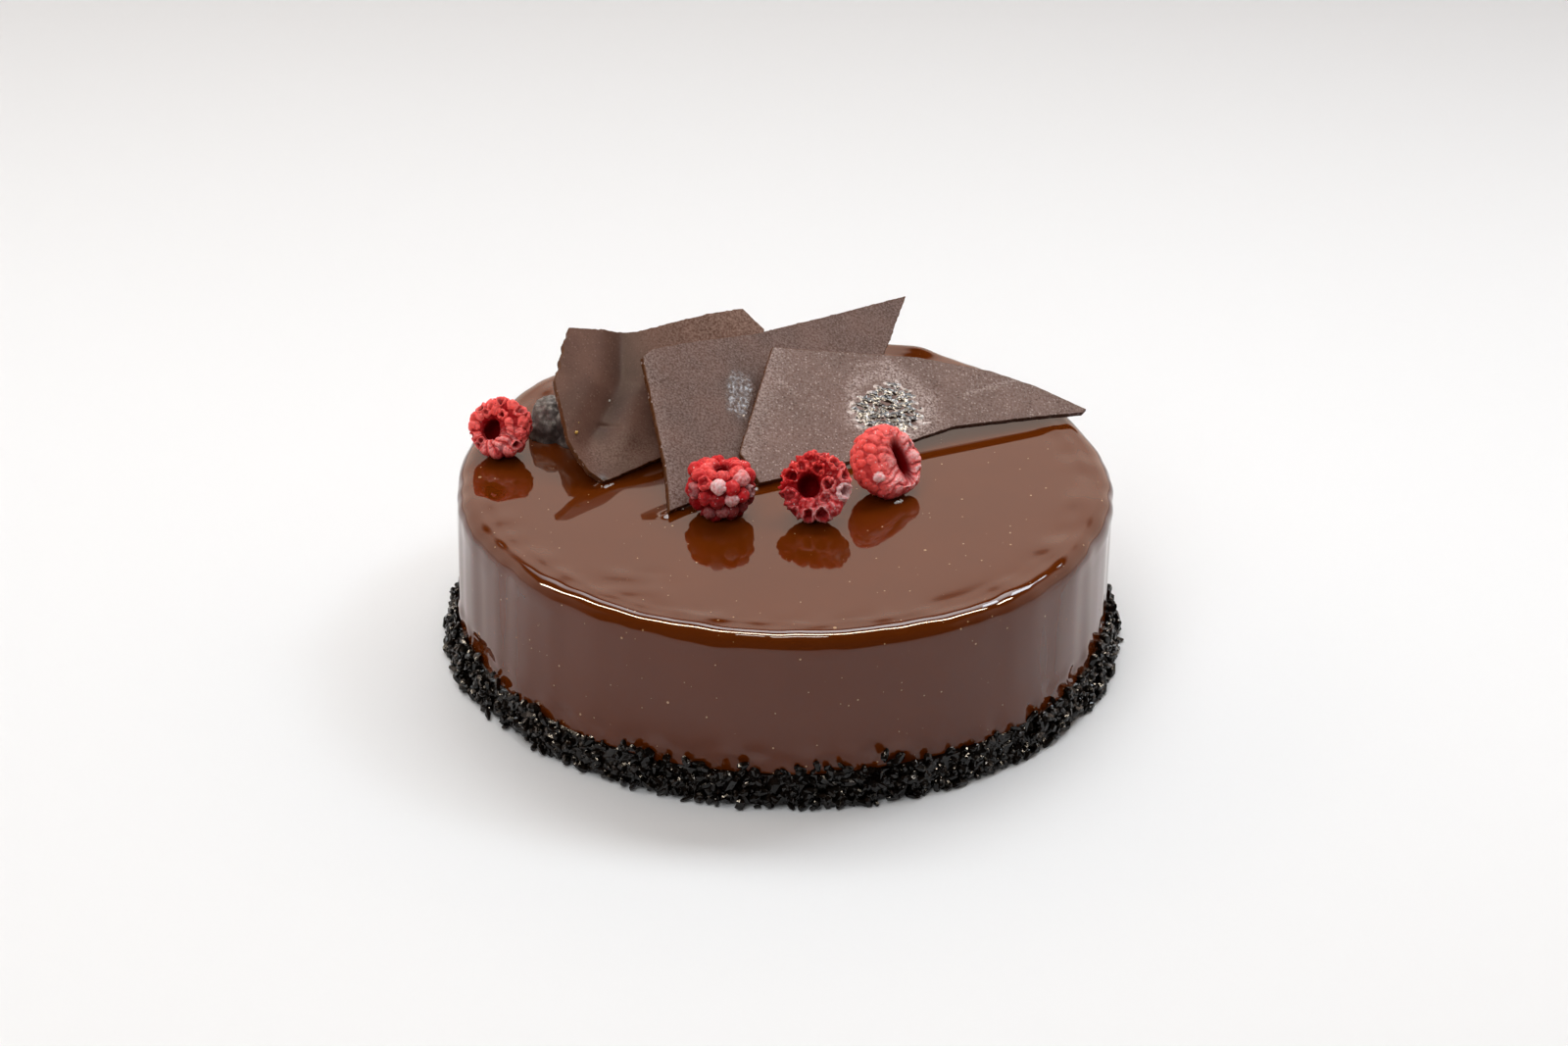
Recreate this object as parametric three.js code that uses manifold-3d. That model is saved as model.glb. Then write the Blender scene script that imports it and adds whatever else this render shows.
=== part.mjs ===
// Round chocolate mousse cake under a mirror glaze, with chocolate crumbs pressed round its foot. On top,
// three broken sheets of chocolate lean on one another like fallen tiles, the first on a lump of chocolate,
// and four hollow raspberries lie round them.
// Millimetres, +Z up. The origin is the middle of the cake's flat underside, and -Y is the front.

import * as THREE from "three";
import { mergeVertices } from "three/addons/utils/BufferGeometryUtils.js";
import Module from "manifold-3d";

// Cake: a drum with a rounded rim
const CAKE_RADIUS = 100;
const CAKE_HEIGHT = 55;
const CAKE_SIDES = 200;
const RIM_RADIUS = 5.2;
const RIM_STEPS = 4;

// Crumb border: grains a few millimetres long, standing off the wall by a grain or two, ragged along the top
const BORDER_HEIGHT = 13;
const BORDER_ROWS = 7;
const BORDER_RAGGED = 1.5;
const BORDER_SEED = 7;
const GRAIN_LEAST = 1.5;
const GRAIN_MOST = 5;
const GRAIN_SHIFT = 0.5;

// Clearance between pieces that touch
const GAP = 0.3;

// Chocolate sheets. foot is the low front corner on the cake's top, heading turns the lower edge round Z
// from +X and tilt raises the sheet from level, in degrees. Each outline is four sides in the sheet's own
// plane, along the lower edge and up the slope: bottom and top run from left to right, left and right run
// upwards.
const SHEET_THICKNESS = 2;
const SHEET_COLUMNS = 18;
const SHEET_ROWS = 10;
const LEFT_SHEET = {
  foot: [-55.7, -11.2],
  heading: 42,
  tilt: 39.2,
  bottom: [[0, 0], [22, 0], [48, 4]],
  left: [[0, 0], [-2.5, 5], [-3, 16], [3.5, 35.5], [18.5, 50]],
  top: [[18.5, 50], [41, 41.5], [54.5, 39], [74, 34]],
  right: [[48, 4], [77, 25], [74, 34]],
};
const MIDDLE_SHEET = {
  foot: [-35, -29.2],
  heading: 44,
  tilt: 32,
  bottom: [[0, 0], [45, 0], [80, 3]],
  left: [[0, 0], [8.5, 13], [27, 50]],
  top: [[27, 50], [32.5, 51.5], [43.5, 49.5], [71.5, 43], [129.5, 36]],
  right: [[80, 3], [111, 23], [129.5, 36]],
};
const RIGHT_SHEET = {
  foot: [-18.9, -15.7],
  heading: 26,
  tilt: 29.8,
  bottom: [[12, 0], [40, 0.8], [67, 4], [81, 5.6], [109, 2.9], [124.5, 1]],
  left: [[12, 0], [10, 12], [21, 27], [35, 46.4]],
  top: [[35, 46.4], [80.5, 32.2], [101, 22.4], [113.5, 13.4], [126, 1.8]],
  right: [[124.5, 1], [126, 1.8]],
};

// The left sheet set in a wave: a shallow valley along a line, and a right-hand end that turns up to carry
// the middle sheet
const VALLEY_FROM = [8, 22];
const VALLEY_ALONG = [48, 18];
const VALLEY_DEPTH = 1.6;
const VALLEY_WIDTH = 8;
const TURN_UP = 8.2;
const TURN_UP_FROM = 40;
const TURN_UP_TO = 78;

// Raspberries: a thimble of drupelets in staggered rings round a hollow. The outer profiles, a cone and a
// barrel that has sagged flat below, and the hollow are shares of the berry's radius and height, from the tip
// to the open end and from there to the bottom of the hollow.
const DRUPELET_RINGS = 5;
const DRUPELETS_ROUND = 12;
const DRUPELET_STEPS = 3;
const DRUPELET_RISE = 1.1;
const CONE = [[0, 0], [0.42, 0.05], [0.7, 0.27], [0.89, 0.55], [1, 0.82], [0.76, 1]];
const BARREL = [[0, 0], [0.68, 0], [0.9, 0.28], [1, 0.6], [0.94, 0.85], [0.7, 1]];
const BERRY_HOLLOW = [[0.46, 0.95], [0.38, 0.7], [0.26, 0.42], [0, 0.38]];

// Where each berry's middle stands, its profile, its size in the grooves and the way its open end faces
const BERRIES = [
  { side: "left", at: [-86.1, 9.7], outer: CONE, radius: 8.8, height: 10.2, facing: [-0.26, -0.77, 0.59] },
  { side: "middle", at: [-19.1, -27.1], outer: BARREL, radius: 9.6, height: 14.4, facing: [0, 0.01, 1] },
  { side: "front", at: [9.8, -27.3], outer: CONE, radius: 10.3, height: 10.6, facing: [-0.19, -0.78, 0.6] },
  { side: "right", at: [28.1, -10.7], outer: CONE, radius: 10.7, height: 12, facing: [0.62, -0.56, 0.55] },
];

// Lump of chocolate behind the left sheet: two rounded lobes run together
const LOBES = [
  { at: [-72.5, 22], radius: 7.5, height: 12.5 },
  { at: [-64, 20], radius: 8.5, height: 20.7 },
];
const LOBE_SIDES = 20;
const LOBE_STEPS = 6;

// Vertices closer than this are one
const MERGE_DISTANCE = 1e-4;

const glaze = new THREE.MeshStandardMaterial({ color: "#54290f", roughness: 0.08, metalness: 0 });
const sheetChocolate = new THREE.MeshStandardMaterial({ color: "#5d463c", roughness: 0.5, metalness: 0 });
const lumpChocolate = new THREE.MeshStandardMaterial({ color: "#2d2623", roughness: 0.6, metalness: 0 });
const berryFlesh = new THREE.MeshStandardMaterial({ color: "#b3242f", roughness: 0.55, metalness: 0 });

const wasm = await Module();
wasm.setup();

// Moves each vertex of a lathe: move(point, column, row) changes the point, in the lathe's own axes with Y
// up, and the last column meets the first.
function displaceLathe(geometry, sides, rows, move) {
  const positions = geometry.attributes.position;
  const point = new THREE.Vector3();
  for (let index = 0; index < positions.count; index++) {
    point.fromBufferAttribute(positions, index);
    move(point, Math.floor(index / rows) % sides, index % rows);
    positions.setXYZ(index, point.x, point.y, point.z);
  }
  return geometry;
}

// The drum and its crumbs are one turned profile. Each vertex of the border stands off the wall by its own
// amount, so the border is a field of bumps as large as the grains.
function cakeGeometry() {
  const profile = [new THREE.Vector2(0, 0)];
  for (let row = 0; row <= BORDER_ROWS; row++) {
    profile.push(new THREE.Vector2(CAKE_RADIUS, (BORDER_HEIGHT * row) / BORDER_ROWS));
  }
  const borderTop = profile.length - 1;
  profile.push(new THREE.Vector2(CAKE_RADIUS, BORDER_HEIGHT + GRAIN_SHIFT));
  const rimRadius = CAKE_RADIUS - RIM_RADIUS;
  const rimHeight = CAKE_HEIGHT - RIM_RADIUS;
  const rim = new THREE.EllipseCurve(rimRadius, rimHeight, RIM_RADIUS, RIM_RADIUS, 0, Math.PI / 2);
  profile.push(...rim.getPoints(RIM_STEPS), new THREE.Vector2(0, CAKE_HEIGHT));

  THREE.MathUtils.seededRandom(BORDER_SEED);
  const draw = () => THREE.MathUtils.seededRandom();
  const grains = Array.from({ length: CAKE_SIDES }, () => {
    const ragged = BORDER_RAGGED * (2 * draw() - 1);
    return profile.map(() => {
      const out = THREE.MathUtils.lerp(GRAIN_LEAST, GRAIN_MOST, draw());
      const shift = GRAIN_SHIFT * (2 * draw() - 1);
      return { out, shift, ragged };
    });
  });
  const geometry = new THREE.LatheGeometry(profile, CAKE_SIDES);
  displaceLathe(geometry, CAKE_SIDES, profile.length, (point, column, row) => {
    const grain = grains[column][row];
    const inBorder = row >= 1 && row <= borderTop;
    const edge = row >= borderTop && row <= borderTop + 1;
    const out = inBorder ? (row === borderTop ? GRAIN_LEAST : grain.out) : 0;
    point.x *= 1 + out / CAKE_RADIUS;
    point.z *= 1 + out / CAKE_RADIUS;
    if (edge) point.y += grain.ragged;
    else if (inBorder && row > 1) point.y += grain.shift;
  });
  return geometry.rotateX(Math.PI / 2);
}

// A side of a sheet's outline as a path of straight breaks
function brokenEdge(points) {
  const path = new THREE.CurvePath();
  for (let index = 1; index < points.length; index++) {
    const from = new THREE.Vector2(...points[index - 1]);
    const to = new THREE.Vector2(...points[index]);
    path.add(new THREE.LineCurve(from, to));
  }
  return path;
}

// A sheet is a flat box whose grid is stretched to fill its four sides and then bent: bend(u, v) lifts the
// sheet off its plane.
function sheetGeometry({ bottom, left, top, right }, bend) {
  const [low, high, first, last] = [bottom, top, left, right].map(brokenEdge);
  const corner = (points, end) => new THREE.Vector2(...points.at(end));
  const fill = (s, t) =>
    new THREE.Vector2()
      .addScaledVector(low.getPoint(s), 1 - t)
      .addScaledVector(high.getPoint(s), t)
      .addScaledVector(first.getPoint(t), 1 - s)
      .addScaledVector(last.getPoint(t), s)
      .addScaledVector(corner(bottom, 0), -(1 - s) * (1 - t))
      .addScaledVector(corner(bottom, -1), -s * (1 - t))
      .addScaledVector(corner(top, 0), -(1 - s) * t)
      .addScaledVector(corner(top, -1), -s * t);
  const geometry = new THREE.BoxGeometry(1, 1, SHEET_THICKNESS, SHEET_COLUMNS, SHEET_ROWS, 1);
  const positions = geometry.attributes.position;
  for (let index = 0; index < positions.count; index++) {
    const place = fill(positions.getX(index) + 0.5, positions.getY(index) + 0.5);
    const height = positions.getZ(index) + SHEET_THICKNESS / 2 + bend(place.x, place.y);
    positions.setXYZ(index, place.x, place.y, height);
  }
  return geometry;
}

function leftSheetBend(u, v) {
  const across = new THREE.Vector2(u - VALLEY_FROM[0], v - VALLEY_FROM[1]);
  const along = new THREE.Vector2(...VALLEY_ALONG).normalize();
  const offLine = along.cross(across);
  const valley = VALLEY_DEPTH * Math.exp(-((offLine / VALLEY_WIDTH) ** 2));
  return TURN_UP * THREE.MathUtils.smoothstep(u, TURN_UP_FROM, TURN_UP_TO) - valley;
}

function sheetMesh(name, sheet, bend) {
  const mesh = new THREE.Mesh(sheetGeometry(sheet, bend), sheetChocolate.clone());
  mesh.name = name;
  mesh.position.set(...sheet.foot, CAKE_HEIGHT + GAP);
  mesh.rotation.set(THREE.MathUtils.degToRad(sheet.tilt), 0, THREE.MathUtils.degToRad(sheet.heading), "ZXY");
  return mesh;
}

// A berry about its own middle, with its open end up. Two steps of every three round and along stand out, a
// third of a drupelet further round in each ring.
function berryGeometry(shares, radius, height) {
  const scaled = ([r, z]) => new THREE.Vector2(r * radius, (z - 0.5) * height);
  const outerRows = DRUPELET_RINGS * DRUPELET_STEPS;
  const outer = new THREE.SplineCurve(shares.map(scaled)).getSpacedPoints(outerRows);
  const profile = [...outer, ...BERRY_HOLLOW.map(scaled)];
  const sides = DRUPELETS_ROUND * DRUPELET_STEPS;
  const geometry = new THREE.LatheGeometry(profile, sides);
  displaceLathe(geometry, sides, profile.length, (point, column, row) => {
    const ring = Math.floor(row / DRUPELET_STEPS);
    const groove = row % DRUPELET_STEPS === 0 || (column + ring) % DRUPELET_STEPS === 0;
    if (row < outerRows && !groove) point.setLength(point.length() + DRUPELET_RISE);
  });
  return geometry.rotateX(Math.PI / 2);
}

function berryMesh({ side, at, outer, radius, height, facing }) {
  const mesh = new THREE.Mesh(berryGeometry(outer, radius, height), berryFlesh.clone());
  const up = new THREE.Vector3(0, 0, 1);
  mesh.name = `raspberry_${side}`;
  mesh.quaternion.setFromUnitVectors(up, new THREE.Vector3(...facing).normalize());
  const turned = mesh.geometry.clone().applyQuaternion(mesh.quaternion);
  turned.computeBoundingBox();
  mesh.position.set(...at, CAKE_HEIGHT + GAP - turned.boundingBox.min.z);
  return mesh;
}

// A closed geometry as a solid that can be joined
function solidOf(geometry) {
  const bare = geometry.clone();
  bare.deleteAttribute("normal");
  bare.deleteAttribute("uv");
  const merged = mergeVertices(bare, MERGE_DISTANCE);
  return new wasm.Manifold(
    new wasm.Mesh({
      numProp: 3,
      vertProperties: merged.attributes.position.array,
      triVerts: new Uint32Array(merged.index.array),
    }),
  );
}

function geometryOf(solid) {
  const mesh = solid.getMesh();
  const geometry = new THREE.BufferGeometry();
  geometry.setAttribute("position", new THREE.BufferAttribute(mesh.vertProperties, 3));
  geometry.setIndex(new THREE.BufferAttribute(mesh.triVerts, 1));
  geometry.computeVertexNormals();
  return geometry;
}

function lobeGeometry({ at, radius, height }) {
  const dome = new THREE.EllipseCurve(0, 0, radius, height, 0, Math.PI / 2).getPoints(LOBE_STEPS);
  dome.at(-1).x = 0;
  const geometry = new THREE.LatheGeometry([new THREE.Vector2(0, 0), ...dome], LOBE_SIDES);
  return geometry.rotateX(Math.PI / 2).translate(...at, CAKE_HEIGHT + GAP);
}

function lumpMesh() {
  const joined = LOBES.map(lobeGeometry).map(solidOf).reduce((whole, lobe) => whole.add(lobe));
  const mesh = new THREE.Mesh(geometryOf(joined), lumpChocolate);
  mesh.name = "chocolate_lump";
  return mesh;
}

const flat = () => 0;
const cakeMesh = new THREE.Mesh(cakeGeometry(), glaze);
cakeMesh.name = "glazed_cake";

const cake = new THREE.Group();
cake.add(cakeMesh);
cake.add(sheetMesh("chocolate_sheet_left", LEFT_SHEET, leftSheetBend));
cake.add(sheetMesh("chocolate_sheet_middle", MIDDLE_SHEET, flat));
cake.add(sheetMesh("chocolate_sheet_right", RIGHT_SHEET, flat));
cake.add(lumpMesh());
cake.add(...BERRIES.map(berryMesh));

export default cake;
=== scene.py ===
# Round chocolate mousse cake under a mirror glaze, with a border of chocolate crumbs round its foot. Three
# broken sheets of chocolate, a lump of chocolate and four frozen raspberries lie on top. Shapes are worked
# out in millimetres in the part's own frame, and go into the meshes in metres.

import math

import bpy
import numpy as np
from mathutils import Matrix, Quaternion, Vector


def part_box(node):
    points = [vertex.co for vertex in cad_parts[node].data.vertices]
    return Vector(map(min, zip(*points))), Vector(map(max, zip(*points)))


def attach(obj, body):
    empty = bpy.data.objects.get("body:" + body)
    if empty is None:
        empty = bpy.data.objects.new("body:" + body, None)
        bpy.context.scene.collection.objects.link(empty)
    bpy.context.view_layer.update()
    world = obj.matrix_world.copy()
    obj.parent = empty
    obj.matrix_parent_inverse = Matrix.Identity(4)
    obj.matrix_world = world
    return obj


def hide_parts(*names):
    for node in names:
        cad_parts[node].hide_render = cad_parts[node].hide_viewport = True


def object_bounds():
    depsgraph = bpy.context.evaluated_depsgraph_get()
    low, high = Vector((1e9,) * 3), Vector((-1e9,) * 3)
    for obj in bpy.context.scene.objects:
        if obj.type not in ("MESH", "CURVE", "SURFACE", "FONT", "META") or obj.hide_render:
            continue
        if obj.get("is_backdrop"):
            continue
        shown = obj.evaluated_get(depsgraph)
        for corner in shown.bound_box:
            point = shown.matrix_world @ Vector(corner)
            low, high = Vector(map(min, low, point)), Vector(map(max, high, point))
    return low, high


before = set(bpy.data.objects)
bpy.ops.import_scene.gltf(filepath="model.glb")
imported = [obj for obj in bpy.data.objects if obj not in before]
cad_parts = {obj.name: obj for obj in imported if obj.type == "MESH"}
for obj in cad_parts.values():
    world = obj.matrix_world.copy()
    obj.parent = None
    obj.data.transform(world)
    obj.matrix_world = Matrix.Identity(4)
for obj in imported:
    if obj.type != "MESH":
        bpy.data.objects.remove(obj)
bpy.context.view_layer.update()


# Mirror glaze: chocolate, syrup and gelatine poured warm over the frozen mousse cake, where it sets as a
# thick shiny skin. It rounds off the rim, runs down the wall in faint streaks, climbs a little against
# whatever is pressed into it, and keeps bubbles and dust as pale specks.
GLAZE_RADIUS = 100.0
GLAZE_HEIGHT = 55.0
RIM_RADIUS = 5.2
GLAZE_COLUMNS = 480
WALL_ROWS = 40
RIM_ROWS = 24
TOP_ROWS = 104
UNDER_RADII = (40.0, 80.0, 99.6)
GLAZE_DEEP = (0.088, 0.0155, 0.0010, 1)
GLAZE_LIGHT = (0.110, 0.0205, 0.0016, 1)
SPECK_TAN = (0.42, 0.24, 0.12, 1)
MILLIMETRE = 0.001

# What stands in the glaze: round feet as x, y and radius, and edges as their two ends and the rise against
# them
ROUND_FEET = [
    (-86.7, 8.1, 3.0), (-19.1, -27.2, 6.3), (8.9, -30.4, 3.0), (30.0, -12.9, 3.2), (-68.0, 21.0, 9.0)
]
EDGE_FEET = [
    ((-55.7, -11.2), (-38.0, 4.7), 1.3), ((-35.0, -29.2), (-32.5, -26.8), 0.7),
    ((-8.1, -10.4), (16.7, 2.4), 0.7),
]


def waves(points, length, seed):
    """Smooth noise about 1 high: twelve plane waves of about that length, each in its own direction,
    summed."""
    random = np.random.default_rng(seed)
    ways = random.normal(size=(3, 12))
    ways *= 2 * np.pi / (length * random.uniform(0.7, 1.5, 12) * np.linalg.norm(ways, axis=0))
    return np.sin(points @ ways + random.uniform(0, 2 * np.pi, 12)).sum(-1) / np.sqrt(6)


def hill(distance, width):
    """A smooth hill 1 high: the bell curve of a distance over a width."""
    return np.exp(-((distance / width) ** 2))


def off_line(u, v, start, end):
    """Distance of points in a plane from a straight piece of line."""
    way = np.array(end, float) - np.array(start, float)
    share = np.clip(((u - start[0]) * way[0] + (v - start[1]) * way[1]) / (way @ way), 0, 1)
    return np.hypot(u - start[0] - share * way[0], v - start[1] - share * way[1])


def even_turns(count):
    """Angles at even steps once round."""
    return np.linspace(0, 2 * np.pi, count, endpoint=False)


def unit_circle(turn):
    """Points at those angles on a circle of radius 1 round Z."""
    return np.stack([np.cos(turn), np.sin(turn), 0 * turn], -1)


def turned_rings(radius, height, turn):
    """A profile turned round Z: for each of its radii and heights, a ring of points at those angles."""
    x = radius[:, None] * np.cos(turn)
    y = radius[:, None] * np.sin(turn)
    return np.stack(np.broadcast_arrays(x, y, height[:, None]), -1)


def glaze_surface():
    """A profile turned round Z, from the middle of the underside out, up the wall, round the rim and in
    over the top. Every point then moves along the profile's own normal by the sum of the streaks, swells
    and rises at its place."""
    wall = np.linspace(0, GLAZE_HEIGHT - RIM_RADIUS, WALL_ROWS, endpoint=False)
    bend = np.linspace(0, np.pi / 2, RIM_ROWS)
    inner = GLAZE_RADIUS - RIM_RADIUS
    top = np.linspace(inner, 0.6, TOP_ROWS + 1)[1:]
    still, full = np.zeros, np.ones
    under = still(len(UNDER_RADII))
    radius = np.concatenate([
        UNDER_RADII, full(WALL_ROWS) * GLAZE_RADIUS, inner + RIM_RADIUS * np.cos(bend), top
    ])
    height = np.concatenate([
        under, wall, GLAZE_HEIGHT - RIM_RADIUS + RIM_RADIUS * np.sin(bend), full(TOP_ROWS) * GLAZE_HEIGHT
    ])
    out = np.concatenate([under, full(WALL_ROWS), np.cos(bend), still(TOP_ROWS)])[:, None]
    up = np.concatenate([under, still(WALL_ROWS), np.sin(bend), full(TOP_ROWS)])[:, None]
    turn = even_turns(GLAZE_COLUMNS)
    place = turned_rings(radius, height, turn)
    x, y, z = np.moveaxis(place, -1, 0)
    ring = GLAZE_RADIUS * unit_circle(turn)
    from_axis = radius[:, None]
    from_rim = np.hypot(np.maximum(inner - radius, 0), GLAZE_HEIGHT - height)[:, None]

    streaks = 0.10 * waves(place * (1, 1, 0.12), 11, 1)
    swells = 0.22 * waves(place * (1, 1, 0.4), 46, 2)
    over_crumbs = 0.30 * hill(z - 15.5, 2.6) * waves(place, 9, 3)
    under_rim = hill(z - 48.2, 1.5) * np.clip(0.06 + 0.12 * waves(ring, 26, 6), 0, 1)
    round_rim = hill(from_rim - 3, 5.5) * (0.20 * waves(ring, 30, 4) + 0.07 * waves(place, 9, 5))
    shore = 0.03 * hill(from_axis - 90, 4.5) * waves(place, 13, 7)
    shore_line = 0.09 * hill(from_axis - 91.5 - 0.5 * waves(ring, 20, 9), 1.3)
    top_swells = 0.012 * waves(place, 34, 8)
    back_swelling = 1.5 * hill(x - 42, 6.5) * hill(y - 86.5, 6)
    front_ripples = 0.10 * hill(np.hypot((x + 46) / 16, (y + 70) / 9) ** 2, 1) * waves(place, 10, 10)
    rise = round_rim + out * (np.clip(z / 8, 0, 1) * (streaks + swells) + over_crumbs + under_rim)
    rise += up * (shore + shore_line + top_swells + back_swelling + front_ripples)
    for foot_x, foot_y, foot_radius in ROUND_FEET:
        gap = np.maximum(np.hypot(x - foot_x, y - foot_y) - foot_radius, 0)
        rise += 0.40 * up * hill(gap, 1.3)
    for foot_start, foot_end, climb in EDGE_FEET:
        rise += climb * up * hill(off_line(x, y, foot_start, foot_end), 1.5)
    rise *= np.clip(from_axis / 4, 0, 1)

    x += rise * out * np.cos(turn)
    y += rise * out * np.sin(turn)
    z += rise * up
    poles = [[0, 0, 0], [0, 0, GLAZE_HEIGHT]]
    return np.concatenate([place.reshape(-1, 3), poles])


def turned_faces(rows, columns):
    """Faces of a closed surface given as rings of points from its first pole to its last: four-sided
    between the rings and a fan at each pole. The two poles come after the rings."""
    ring, column = np.meshgrid(np.arange(rows - 1) * columns, np.arange(columns), indexing="ij")
    beside = (column + 1) % columns
    corners = [ring + column, ring + beside, ring + columns + beside, ring + columns + column]
    round_pole = np.arange(columns)
    next_round = (round_pole + 1) % columns
    last = (rows - 1) * columns
    first_fan = [np.full(columns, rows * columns), next_round, round_pole]
    last_fan = [np.full(columns, rows * columns + 1), last + round_pole, last + next_round]
    fans = np.concatenate([np.stack(first_fan, -1), np.stack(last_fan, -1)])
    return np.stack(corners, -1).reshape(-1, 4), fans


def new_piece(name, points, quads, triangles, material, smooth=True, **marks):
    """A mesh object, smooth or with flat faces, from points in millimetres and arrays of corner numbers.
    Each mark is a number at every point, kept as an attribute for the material."""
    mesh = bpy.data.meshes.new(name)
    corners = np.concatenate([quads.ravel(), triangles.ravel()]).astype(np.int32)
    sizes = np.concatenate([np.full(len(quads), 4), np.full(len(triangles), 3)])
    mesh.vertices.add(len(points))
    mesh.vertices.foreach_set("co", (points * MILLIMETRE).astype(np.float32).ravel())
    mesh.loops.add(len(corners))
    mesh.loops.foreach_set("vertex_index", corners)
    mesh.polygons.add(len(sizes))
    mesh.polygons.foreach_set("loop_start", (np.cumsum(sizes) - sizes).astype(np.int32))
    mesh.polygons.foreach_set("use_smooth", np.full(len(sizes), smooth))
    for name_of_mark, values in marks.items():
        kept = mesh.attributes.new(name_of_mark, "FLOAT", "POINT")
        kept.data.foreach_set("value", values.astype(np.float32).ravel())
    mesh.update(calc_edges=True)
    mesh.materials.append(material)
    piece = bpy.data.objects.new(name, mesh)
    bpy.context.scene.collection.objects.link(piece)
    return piece


def shader_node(tree, kind, sockets=None, **settings):
    """Adds a node of that kind, sets its properties, and sets or links its sockets by name or number."""
    made = tree.nodes.new(kind)
    for setting, value in settings.items():
        setattr(made, setting, value)
    for socket, value in (sockets or {}).items():
        if isinstance(value, bpy.types.NodeSocket):
            tree.links.new(value, made.inputs[socket])
        else:
            made.inputs[socket].default_value = value
    return made


def new_material(name):
    """A new material with its node tree, its shader and Object coordinates."""
    material = bpy.data.materials.new(name)
    material.use_nodes = True
    tree = material.node_tree
    place = tree.nodes.new("ShaderNodeTexCoord").outputs["Object"]
    return material, tree, tree.nodes["Principled BSDF"], place


def noise(tree, place, scale, detail=2.0):
    """A noise field's value, from 0 to 1."""
    sockets = {"Vector": place, "Scale": scale, "Detail": detail}
    return shader_node(tree, "ShaderNodeTexNoise", sockets).outputs["Fac"]


def spread(tree, value, low, high, new_low=0.0, new_high=1.0):
    """A value between low and high, clamped and spread between two new ends."""
    sockets = {"Value": value, "From Min": low, "From Max": high, "To Min": new_low, "To Max": new_high}
    return shader_node(tree, "ShaderNodeMapRange", sockets).outputs["Result"]


def maths(tree, operation, first, second):
    """One step of arithmetic on two values."""
    return shader_node(tree, "ShaderNodeMath", {0: first, 1: second}, operation=operation).outputs[0]


def blend(tree, share, first, second):
    """A colour that goes from the first to the second with the share."""
    return shader_node(tree, "ShaderNodeMix", {0: share, 6: first, 7: second}, data_type="RGBA").outputs[2]


def relief(tree, shader, strength, depth, height):
    """Gives the shader the normals of a relief with that height field, depth in metres and strength."""
    sockets = {"Strength": strength, "Distance": depth, "Height": height}
    tree.links.new(shader_node(tree, "ShaderNodeBump", sockets).outputs["Normal"], shader.inputs["Normal"])


def specks_group():
    """Scattered dots: the places closer than Size to the nearest point of a cell field, in a Share of its
    cells."""
    tree = bpy.data.node_groups.new("specks", "ShaderNodeTree")
    for name in ("Scale", "Size", "Share"):
        tree.interface.new_socket(name, in_out="INPUT", socket_type="NodeSocketFloat")
    tree.interface.new_socket("Mask", in_out="OUTPUT", socket_type="NodeSocketFloat")
    given = tree.nodes.new("NodeGroupInput").outputs
    place = tree.nodes.new("ShaderNodeTexCoord").outputs["Object"]
    cells = shader_node(tree, "ShaderNodeTexVoronoi", {"Vector": place, "Scale": given["Scale"]}).outputs
    draw = shader_node(tree, "ShaderNodeSeparateColor", {"Color": cells["Color"]}).outputs
    size = maths(tree, "MULTIPLY", given["Size"], draw["Green"])
    near = maths(tree, "LESS_THAN", cells["Distance"], size)
    drawn = maths(tree, "LESS_THAN", draw["Red"], given["Share"])
    shader_node(tree, "NodeGroupOutput", {"Mask": maths(tree, "MULTIPLY", near, drawn)})
    return tree


SPECKS = specks_group()


def specks(tree, scale, size, share):
    """The mask of a field of scattered dots: how fine it is, how large they are and in what share of the
    cells."""
    group = shader_node(tree, "ShaderNodeGroup", node_tree=SPECKS)
    for socket, value in (("Scale", scale), ("Size", size), ("Share", share)):
        group.inputs[socket].default_value = value
    return group.outputs["Mask"]


def glaze_material():
    """Clear brown skin: cloudy brown under a mirror surface, with tan specks that stand a little proud."""
    material, tree, shader, place = new_material("mirror_glaze")
    brown = blend(tree, noise(tree, place, 40), GLAZE_DEEP, GLAZE_LIGHT)
    dots = maths(tree, "MAXIMUM", specks(tree, 150, 0.080, 0.42), specks(tree, 420, 0.13, 0.36))
    tree.links.new(blend(tree, dots, brown, SPECK_TAN), shader.inputs["Base Color"])
    tree.links.new(spread(tree, noise(tree, place, 60), 0.3, 0.7, 0.015, 0.05), shader.inputs["Roughness"])
    relief(tree, shader, 0.35, 0.0001, dots)
    shader.inputs["IOR"].default_value = 1.5
    return material


glaze_quads, glaze_fans = turned_faces(len(UNDER_RADII) + WALL_ROWS + RIM_ROWS + TOP_ROWS, GLAZE_COLUMNS)
glaze = new_piece("glaze", glaze_surface(), glaze_quads, glaze_fans, glaze_material())
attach(glaze, "root")
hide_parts("glazed_cake")


# Crumb border: crumbs of dark chocolate biscuit, pressed by hand against the foot of the wall while the
# glaze is still soft. They lie two or three deep at the bottom and thin out to a ragged edge, over a core
# of packed crumbs.
CRUMB_SIDES = 6
CRUMB_SHARES = np.array([-0.93, -0.6, 0.0, 0.6, 0.93])
CRUMB_HALF_LENGTH = (1.1, 2.4)
CRUMB_HALF_WIDTH = (0.80, 1.55)
CRUMB_BLACK = (0.0014, 0.0009, 0.0006, 1)
CRUMB_BROWN = (0.0075, 0.0040, 0.0024, 1)
CORE_COLUMNS = 360
CORE_PROFILE = [
    (60.0, 0.2), (101.0, 0.2), (102.2, 1.0), (101.9, 4.0), (101.3, 7.5), (100.6, 10.0), (98.0, 10.6)
]

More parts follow.
